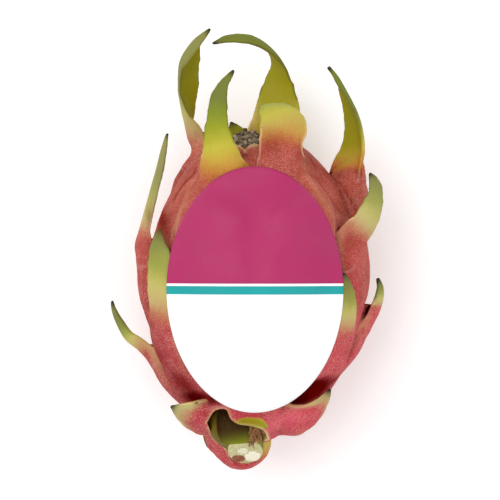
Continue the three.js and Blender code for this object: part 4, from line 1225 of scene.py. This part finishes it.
def partOf(tree, where, axis):
    return addNode(tree, "ShaderNodeSeparateXYZ", {0: where}).outputs[axis]


def noiseNode(tree, where, scale, detail, **more):
    inputs = {"Vector": where, "Scale": scale, "Detail": detail, **more}
    return addNode(tree, "ShaderNodeTexNoise", inputs).outputs[0]


def newGroup(name, inputs, outputs):  # an input without a value is a vector
    group = bpy.data.node_groups.new(name, "ShaderNodeTree")
    for socket, value in inputs.items():
        kind = "NodeSocketVector" if value is None else "NodeSocketFloat"
        made = group.interface.new_socket(name=socket, in_out="INPUT", socket_type=kind)
        if value is not None:
            made.default_value = value
    for socket in outputs:
        group.interface.new_socket(name=socket, in_out="OUTPUT", socket_type="NodeSocketFloat")
    return group, group.nodes.new("NodeGroupInput").outputs


def closedGroup(group, results):  # links what the group puts out
    ends = group.nodes.new("NodeGroupOutput").inputs
    for name, result in results.items():
        group.links.new(result, ends[name])
    return group


def makeDots():  # fine pale dots of uneven strength
    group, given = newGroup("fineDots", {"Vector": None, "Spacing": 1100.0, "Size": 0.42}, ("Mask", "Height"))
    where = given["Vector"]
    cells = addNode(group, "ShaderNodeTexVoronoi", {
        "Vector": where, "Scale": given["Spacing"], "Randomness": 0.9})
    blur = noiseNode(group, where, 160.0, 2.0)
    disc = calc(group, "SUBTRACT", 1.0, remap(group, cells.outputs["Distance"], 0.1, given["Size"]))
    pick = addNode(group, "ShaderNodeSeparateColor", {0: cells.outputs["Color"]}).outputs[0]
    strength = times(group, remap(group, pick, 0.0, 0.8, 0.3), remap(group, blur, 0.35, 0.6, 0.6))
    sand = noiseNode(group, where, times(group, given["Spacing"], 0.95), 1.5)
    specks = remap(group, sand, 0.5, 0.68, 0.0, 0.62)
    mask = calc(group, "MAXIMUM", times(group, disc, strength), specks)
    mask = times(group, mask, remap(group, blur, 0.3, 0.62, 0.55))
    return closedGroup(group, {"Mask": mask, "Height": disc})


def makeGrain():  # fine unevenness for gloss, height and colour
    group, given = newGroup("fineGrain", {"Vector": None, "Scale": 900.0}, ("Fine", "Broad"))
    fine = noiseNode(group, given["Vector"], given["Scale"], 4.0)
    broad = noiseNode(group, given["Vector"], times(group, given["Scale"], 0.06), 3.0)
    return closedGroup(group, {"Fine": fine, "Broad": broad})


def makeStains():  # small brown marks and dried patches
    group, given = newGroup("brownStains", {"Vector": None, "Scale": 300.0, "Amount": 0.5}, ("Mask",))
    spots = noiseNode(group, given["Vector"], given["Scale"], 5.0, Roughness=0.65)
    low = calc(group, "SUBTRACT", 0.78, times(group, given["Amount"], 0.3))
    return closedGroup(group, {"Mask": remap(group, spots, low, plus(group, low, 0.06))})


def makeStreaks():  # streaks along a scale or a stem
    group, given = newGroup("lengthwiseStreaks", {"Across": 0.0, "Along": 0.0, "Fineness": 12.0}, ("Mask",))
    place = addNode(group, "ShaderNodeCombineXYZ", {
        0: times(group, given["Across"], given["Fineness"]), 1: times(group, given["Along"], 1.3)}).outputs[0]
    return closedGroup(group, {"Mask": noiseNode(group, place, 1.0, 3.0)})


dots, grain, stains, streaks = makeDots(), makeGrain(), makeStains(), makeStreaks()


def placed(tree, group, **inputs):
    return addNode(tree, "ShaderNodeGroup", inputs, node_tree=group).outputs


def newMaterial(name, fixed):
    material = bpy.data.materials.new(name)
    material.use_nodes = True
    tree = material.node_tree
    sockets = tree.nodes["Principled BSDF"].inputs
    for key, value in fixed.items():
        sockets[key].default_value = value
    return material, tree, sockets


def surfaced(tree, sockets, colour, roughness, height=None, distance=0.0):
    tree.links.new(colour, sockets["Base Color"])
    tree.links.new(roughness, sockets["Roughness"])
    if height:
        bump = addNode(tree, "ShaderNodeBump", {"Height": height, "Distance": distance})
        tree.links.new(bump.outputs[0], sockets["Normal"])


def uneven(tree, fine, low, high):  # a roughness that follows the grain
    return remap(tree, fine["Fine"], 0.3, 0.7, low, high)


skinTones = {
    "coral": (170, 68, 48),
    "pink": (196, 44, 68),
    "pinkLeft": (164, 28, 46),
    # the colour of painted shade in axils, hollows and creases
    "deep": (96, 4, 2),
    # darker mottle at random, and painted shade in the furrows
    "shadeAndMottle": (112, 26, 18),
    # a lighter pink used as painted light
    "paintedLightPink": (234, 84, 112),
    "dots": (226, 148, 136),
    # painted sheen on the ridges
    "ridgeSheen": (190, 130, 122),
    "olive": (178, 170, 112),
    "crest": (182, 182, 116),
    "paleRim": (220, 190, 132),
    "darkRim": (78, 68, 30),
    "brown": (78, 60, 38),
    "tip": (46, 40, 30),
    "flesh": (120, 30, 28),
}
skinRamps = {  # from where a scale leaves the red to its tip
    "outer": [(0.0, (172, 66, 42)), (0.16, (186, 112, 50)), (0.34, (192, 158, 62)), (0.48, (188, 178, 62)),
              (0.66, (148, 152, 36)), (0.84, (122, 132, 38)), (1.0, (110, 116, 46))],
    "paleOuter": [(0.0, (182, 60, 70)), (0.14, (194, 96, 92)), (0.3, (208, 152, 118)),
                  (0.44, (204, 182, 116)), (0.54, (184, 176, 92)), (0.7, (142, 146, 62)),
                  (0.86, (116, 122, 50)), (1.0, (98, 104, 44))],
    "inner": [(0.0, (160, 56, 38)), (0.16, (190, 116, 50)), (0.3, (180, 152, 48)), (0.5, (156, 146, 22)),
              (1.0, (142, 138, 24))],
}


def toned(table):
    return {name: srgb(*colour) for name, colour in table.items()}


def redSkin(tree, tone, where, broad, spots, small, dark, ridge):
    height = plus(tree, partOf(tree, where, 1), remap(tree, broad, 0, 1, -0.02, 0.02))
    climb = remap(tree, height, -0.035, 0.03)
    wide = remap(tree, partOf(tree, where, 0), -0.04, 0.02)
    return layered(
        tree, mixed(tree, wide, tone["pinkLeft"], tone["pink"]),
        (climb, tone["coral"]),
        # painted light: a lighter pink where the shading value is below 0
        (remap(tree, dark, 0.0, -1.0), tone["paintedLightPink"]),
        # darker mottle at random
        (remap(tree, broad, 0.45, 0.75, 0, 0.35), tone["shadeAndMottle"]),
        # painted shade in the furrows
        (remap(tree, ridge, -0.1, -0.8, 0, 0.75), tone["shadeAndMottle"]),
        (remap(tree, small, 0.05, 0.5, 0.25, 0), tone["shadeAndMottle"]),
        (times(tree, spots, remap(tree, climb, 0, 1, 0.95, 0.75)), tone["dots"]),
        # painted sheen on the ridges
        (remap(tree, ridge, 0.1, 0.8, 0, 0.4), tone["ridgeSheen"]))


def skinMaterial():
    material, tree, sockets = newMaterial("fruitSkin", {"Specular IOR Level": 0.0, "Coat Roughness": 0.45})
    tone = toned(skinTones)
    where = coordinates(tree)
    ripe, edge, inside, tip, ridge = vertexValues(tree, "ripe edge inside tip ridge")
    pale, pocket, cut, free, seam = vertexValues(tree, "pale pocket cut free seam")
    dark, wrinkled, across, along = vertexValues(tree, "dark wrinkled across along")
    fine = placed(tree, grain, Vector=where, Scale=900.0)
    broad = fine["Broad"]
    large = placed(tree, dots, Vector=where, Spacing=2000.0, Size=0.6)
    small = placed(tree, dots, Vector=where, Spacing=3100.0, Size=0.6)["Mask"]
    spots = calc(tree, "MAXIMUM", large["Mask"], times(tree, small, 0.4))
    marks = placed(tree, stains, Vector=where, Scale=420.0, Amount=0.42)["Mask"]
    veins = placed(tree, streaks, Across=across, Along=along, Fineness=19.0)["Mask"]
    red = redSkin(tree, tone, where, broad, spots, small, dark, ridge)

    # How far each place has turned from red to green, with ragged and pale edges.
    palest, paleness = remap(tree, pale, 0.8, 1.0), remap(tree, pale, 0.3, 0.7)
    ragged = remap(tree, veins, 0.3, 0.7, -0.014, 0.014)
    ragged = plus(tree, ragged, remap(tree, spots, 0.1, 0.6, -0.02, 0.05))
    turned = plus(tree, ripe, remap(tree, broad, 0.2, 0.8, -0.06, 0.06))
    turned = plus(tree, turned, times(tree, free, remap(tree, veins, 0.3, 0.7, -0.01, 0.01)))
    turned = plus(tree, turned, times(tree, ragged, remap(tree, ripe, 0.7, 0.3)))
    turned = times(tree, turned, remap(tree, ripe, 0.0, 0.08))
    turned = plus(tree, turned, times(tree, palest, remap(tree, edge, 0.4, 1, 0, 0.16)))

    plain, palePlain, inner = (ramped(tree, turned, skinRamps[n]) for n in ("outer", "paleOuter", "inner"))
    hold = calc(tree, "POWER", pale, remap(tree, turned, 0.35, 0.75, 1.0, 2.6))
    start = mixed(tree, paleness, remap(tree, turned, 0.0, 0.24), remap(tree, turned, 0.02, 0.42))
    outer = layered(tree, mixed(tree, paleness, plain, palePlain),
                    (times(tree, hold, remap(tree, turned, 0.0, 0.4)), tone["olive"]))
    outer = mixed(tree, start, red, outer)
    inner = mixed(tree, remap(tree, turned, 0.02, 0.2), red, inner)
    # painted shade: deep red where the rays found the red skin closed in
    paintedPocketShade = times(tree, remap(tree, pocket, 0.22, 0.62), remap(tree, turned, 0.4, 0.1))
    green = times(tree, remap(tree, turned, 0.3, 0.6), remap(tree, pale, 1.0, 0.7))
    line = times(tree, remap(tree, edge, 0.91, 0.99), remap(tree, broad, 0.3, 0.6, 0.15, 0.6))
    worn = times(tree, marks, calc(tree, "MAXIMUM", remap(tree, edge, 0.9, 0.98), wrinkled))
    dry = times(tree, palest, remap(tree, ripe, 0.3, 0.0))
    colour = layered(
        tree, mixed(tree, inside, outer, inner),
        (paintedPocketShade, tone["deep"]),
        # painted shade: deep red where the shading value is above 0
        (times(tree, dark, remap(tree, broad, 0.3, 0.6, 0.88, 1.0)), tone["deep"]),
        (times(tree, wrinkled, remap(tree, broad, 0.4, 0.6, 0.3, 0.75)), tone["crest"]),
        (line, mixed(tree, green, tone["paleRim"], tone["darkRim"])),
        (worn, tone["brown"]),
        (cut, tone["flesh"]),
        (times(tree, seam, remap(tree, broad, 0.3, 0.6, 0.2, 0.5)), tone["paleRim"]),
        (tip, mixed(tree, dry, tone["tip"], tone["paleRim"])))

    shade = calc(tree, "MAXIMUM", dark, remap(tree, pocket, 0.2, 0.6))
    tree.links.new(remap(tree, shade, 0.0, 0.6, 0.24, 0.0), sockets["Coat Weight"])  # no gloss in deep places
    height = plus(tree, times(tree, large["Height"], calc(tree, "SUBTRACT", 1.0, ripe)), fine["Fine"])
    height = plus(tree, height, times(tree, free, veins))
    surfaced(tree, sockets, colour, uneven(tree, fine, 0.4, 0.54), height, 0.0001)
    return material


labelTones = {
    "field": (171, 40, 95),
    "bare": (250, 250, 250),
    "band": (22, 158, 158),
    "dust": (120, 110, 110),
}
labelLines = {"field": 0.0009, "band": (-0.0031, 0.0)}  # where the field ends, and the band: metres along it


def labelMaterial():
    material, tree, sockets = newMaterial("stickerFilm", {"Specular IOR Level": 0.25})
    tone = toned(labelTones)
    where = coordinates(tree)
    fine = placed(tree, grain, Vector=where, Scale=1400.0)
    y = partOf(tree, where, 1)
    low, high = labelLines["band"]
    onBand = times(tree, calc(tree, "GREATER_THAN", y, low), calc(tree, "LESS_THAN", y, high))
    colour = layered(
        tree, mixed(tree, calc(tree, "GREATER_THAN", y, labelLines["field"]), tone["bare"], tone["field"]),
        (onBand, tone["band"]),
        (remap(tree, fine["Broad"], 0.3, 0.8, 0, 0.05), tone["dust"]))
    surfaced(tree, sockets, colour, uneven(tree, fine, 0.5, 0.6), fine["Fine"], 0.00003)
    return material


stemTones = {
    # painted shade under the lip, where the side is darkest
    "dark": (56, 36, 8),
    "bright": (124, 130, 28),
    # a painted highlight along the side's lower edge
    "edge": (200, 194, 84),
    "side": (112, 96, 24),
    "dull": (104, 92, 36),
    "line": (44, 26, 8),
    "flesh": (200, 193, 138),
    "fleshDark": (134, 122, 66),
    "pith": (214, 208, 164),
    "core": (248, 242, 216),
    "papery": (132, 62, 40),
    "paperyPale": (190, 136, 104),
    "fibre": (118, 76, 46),
    "fibrePale": (168, 124, 84),
    "fibreDark": (84, 44, 22),
}


def stubSide(tree, tone, fine, lines, down, spin):  # the green side, with painted shade under the lip, a painted highlight along its lower edge, and the line of its ridge
    climb = plus(tree, down, remap(tree, fine["Broad"], 0.3, 0.7, -0.05, 0.05))
    side = times(tree, remap(tree, spin, 0.2, 0.165), remap(tree, spin, 0.0, 0.06))
    ridge = remap(tree, calc(tree, "ABSOLUTE", calc(tree, "SUBTRACT", spin, 0.185)), 0.012, 0.003)
    return layered(
        # painted shade: deepest near the lip, brighter towards the cut
        tree, mixed(tree, remap(tree, climb, 0.3, 0.9), tone["dark"], tone["bright"]),
        (remap(tree, lines, 0.4, 0.7, 0, 0.1), tone["dull"]),
        (times(tree, side, 0.75), tone["side"]),
        (times(tree, ridge, remap(tree, down, 0.5, 0.7, 0, 0.8)), tone["line"]),
        # painted highlight along the lower edge
        (remap(tree, down, 0.95, 0.985, 0, 0.8), tone["edge"]))


def stubFace(tree, tone, grainy, torn, lines, core, knot, papery):  # the pale cut face
    around = calc(tree, "ABSOLUTE", calc(tree, "SUBTRACT", plus(tree, knot, times(tree, torn, 0.4)), 0.4))
    shred = mixed(tree, remap(tree, grainy["Fine"], 0.4, 0.62), tone["papery"], tone["paperyPale"])
    return layered(
        tree, mixed(tree, remap(tree, grainy["Broad"], 0.3, 0.7), tone["flesh"], tone["pith"]),
        (remap(tree, lines, 0.5, 0.7, 0, 0.25), tone["fleshDark"]),
        (remap(tree, plus(tree, core, torn), 0.15, 0.6), tone["core"]),
        (remap(tree, plus(tree, knot, torn), 0.35, 0.6, 0, 0.7), tone["core"]),
        (remap(tree, around, 0.2, 0.05, 0, 0.5), tone["fleshDark"]),
        (remap(tree, plus(tree, papery, torn), 0.3, 0.55), shred))


def stubMaterial():
    material, tree, sockets = newMaterial("greenStem", {"Specular IOR Level": 0.08})
    tone = toned(stemTones)
    where = coordinates(tree)
    face, down, spin, core, knot, papery = vertexValues(tree, "face down spin core knot papery")
    fine = placed(tree, grain, Vector=where, Scale=700.0)
    grainy = placed(tree, grain, Vector=where, Scale=22000.0)
    marks = placed(tree, stains, Vector=where, Scale=300.0, Amount=0.5)["Mask"]
    lines = placed(tree, streaks, Across=spin, Along=down, Fineness=60.0)["Mask"]
    torn = remap(tree, grainy["Broad"], 0.25, 0.75, -0.3, 0.3)
    colour = layered(
        tree, stubSide(tree, tone, fine, lines, down, spin),
        (face, stubFace(tree, tone, grainy, torn, lines, core, knot, papery)),
        (times(tree, marks, 0.35), tone["fibre"]))
    height = plus(tree, fine["Fine"], times(tree, face, times(tree, torn, 2.0)))
    surfaced(tree, sockets, colour, uneven(tree, fine, 0.45, 0.65), height, 0.00025)
    return material


def fibreMaterial():
    material, tree, sockets = newMaterial("paperyFibre", {"Specular IOR Level": 0.06})
    tone = toned(stemTones)
    fine = placed(tree, grain, Vector=coordinates(tree), Scale=1500.0)
    colour = layered(
        tree, mixed(tree, remap(tree, fine["Broad"], 0.35, 0.65), tone["fibre"], tone["fibrePale"]),
        (remap(tree, fine["Fine"], 0.4, 0.7, 0, 0.6), tone["fibreDark"]))
    surfaced(tree, sockets, colour, uneven(tree, fine, 0.7, 0.9), fine["Fine"], 0.0003)
    return material


flowerTones = {"brown": (96, 76, 54), "grey": (182, 166, 142), "shadow": (92, 74, 52), "mark": (66, 52, 40)}


def flowerMaterial():
    material, tree, sockets = newMaterial("driedFlower", {"Specular IOR Level": 0.06})
    tone = toned(flowerTones)
    where = coordinates(tree)
    fine = placed(tree, grain, Vector=where, Scale=1500.0)
    patches = placed(tree, grain, Vector=where, Scale=12000.0)["Broad"]
    marks = placed(tree, stains, Vector=where, Scale=900.0, Amount=0.9)["Mask"]
    colour = layered(
        tree, mixed(tree, remap(tree, patches, 0.36, 0.64), tone["brown"], tone["grey"]),
        (remap(tree, fine["Fine"], 0.42, 0.62, 0, 0.4), tone["shadow"]),
        (times(tree, marks, 0.7), tone["mark"]))
    surfaced(tree, sockets, colour, uneven(tree, fine, 0.75, 0.95), fine["Fine"], 0.0005)
    return material


def floorMaterial():
    material, tree, sockets = newMaterial("paleFloor", {
        "Specular IOR Level": 0.1, "Emission Color": (1, 1, 1, 1), "Emission Strength": 0.14})
    fine = placed(tree, grain, Vector=coordinates(tree), Scale=60.0)
    colour = mixed(tree, remap(tree, fine["Broad"], 0.3, 0.7), srgb(248, 248, 248), srgb(252, 252, 252))
    surfaced(tree, sockets, colour, uneven(tree, fine, 0.7, 0.8))
    return material


for piece, material, node, slot in (
        (fruit, skinMaterial(), "fruit", "fruit_skin"),
        (sticker, labelMaterial(), "label", "label_film"),
        (stemStub, stubMaterial(), "stem_stub", "stem"),
        (stemFibres, fibreMaterial(), None, "stem"),
        (driedFlower, flowerMaterial(), "flower_remnant", "dried_flower")):
    piece.data.materials.clear()
    piece.data.materials.append(material)
    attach(piece, "root")
    if node:
        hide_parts(node)
print("materials made")

# Floor, light and camera.
studio = {
    "floorSize": 3000,
    "floorCells": 8,
    "floorDrop": 0.05,
    "lights": (("key", (-420, 320, 900), 5.6), ("fill", (600, -300, 700), 2)),  # name, place, power
    "lightSize": 900,
    "worldLight": 0.74,
    "cameraPlace": (-2.3, 13.3, 1200),
    "lens": 227.4,
    "sensor": 36,
    "clipEnd": 20,
}


def makeFloor():
    half, cells = studio["floorSize"] / 2, studio["floorCells"]
    row = cells + 1
    steps = np.linspace(-half, half, row)
    points = [(x, y, -axisHeight - studio["floorDrop"]) for y in steps for x in steps]
    corners = [j * row + i for j in range(cells) for i in range(cells)]
    floor = makeObject("floor", points, [(c, c + 1, c + row + 1, c + row) for c in corners])
    floor.data.materials.append(floorMaterial())


def hung(name, data, place):  # a light or the camera in its place
    holder = bpy.data.objects.new(name, data)
    holder.location = toFrame(place)
    bpy.context.scene.collection.objects.link(holder)
    return holder


def makeStudio():
    makeFloor()
    for name, place, power in studio["lights"]:
        lamp = bpy.data.lights.new(name, "AREA")
        lamp.energy, lamp.shape, lamp.size = power, "SQUARE", studio["lightSize"] * millimetre
        hung(name, lamp, place).rotation_euler = (-Vector(place)).to_track_quat("-Z", "Y").to_euler()
    world = bpy.data.worlds.new("studio")
    world.use_nodes = True
    background = world.node_tree.nodes["Background"].inputs
    background[0].default_value, background[1].default_value = (1, 1, 1, 1), studio["worldLight"]
    bpy.context.scene.world = world
    bpy.context.scene.view_settings.view_transform = "Standard"
    camera = bpy.data.cameras.new("camera")
    camera.lens, camera.sensor_width, camera.clip_end = studio["lens"], studio["sensor"], studio["clipEnd"]
    bpy.context.scene.camera = hung("camera", camera, studio["cameraPlace"])


makeStudio()
print("studio ready")
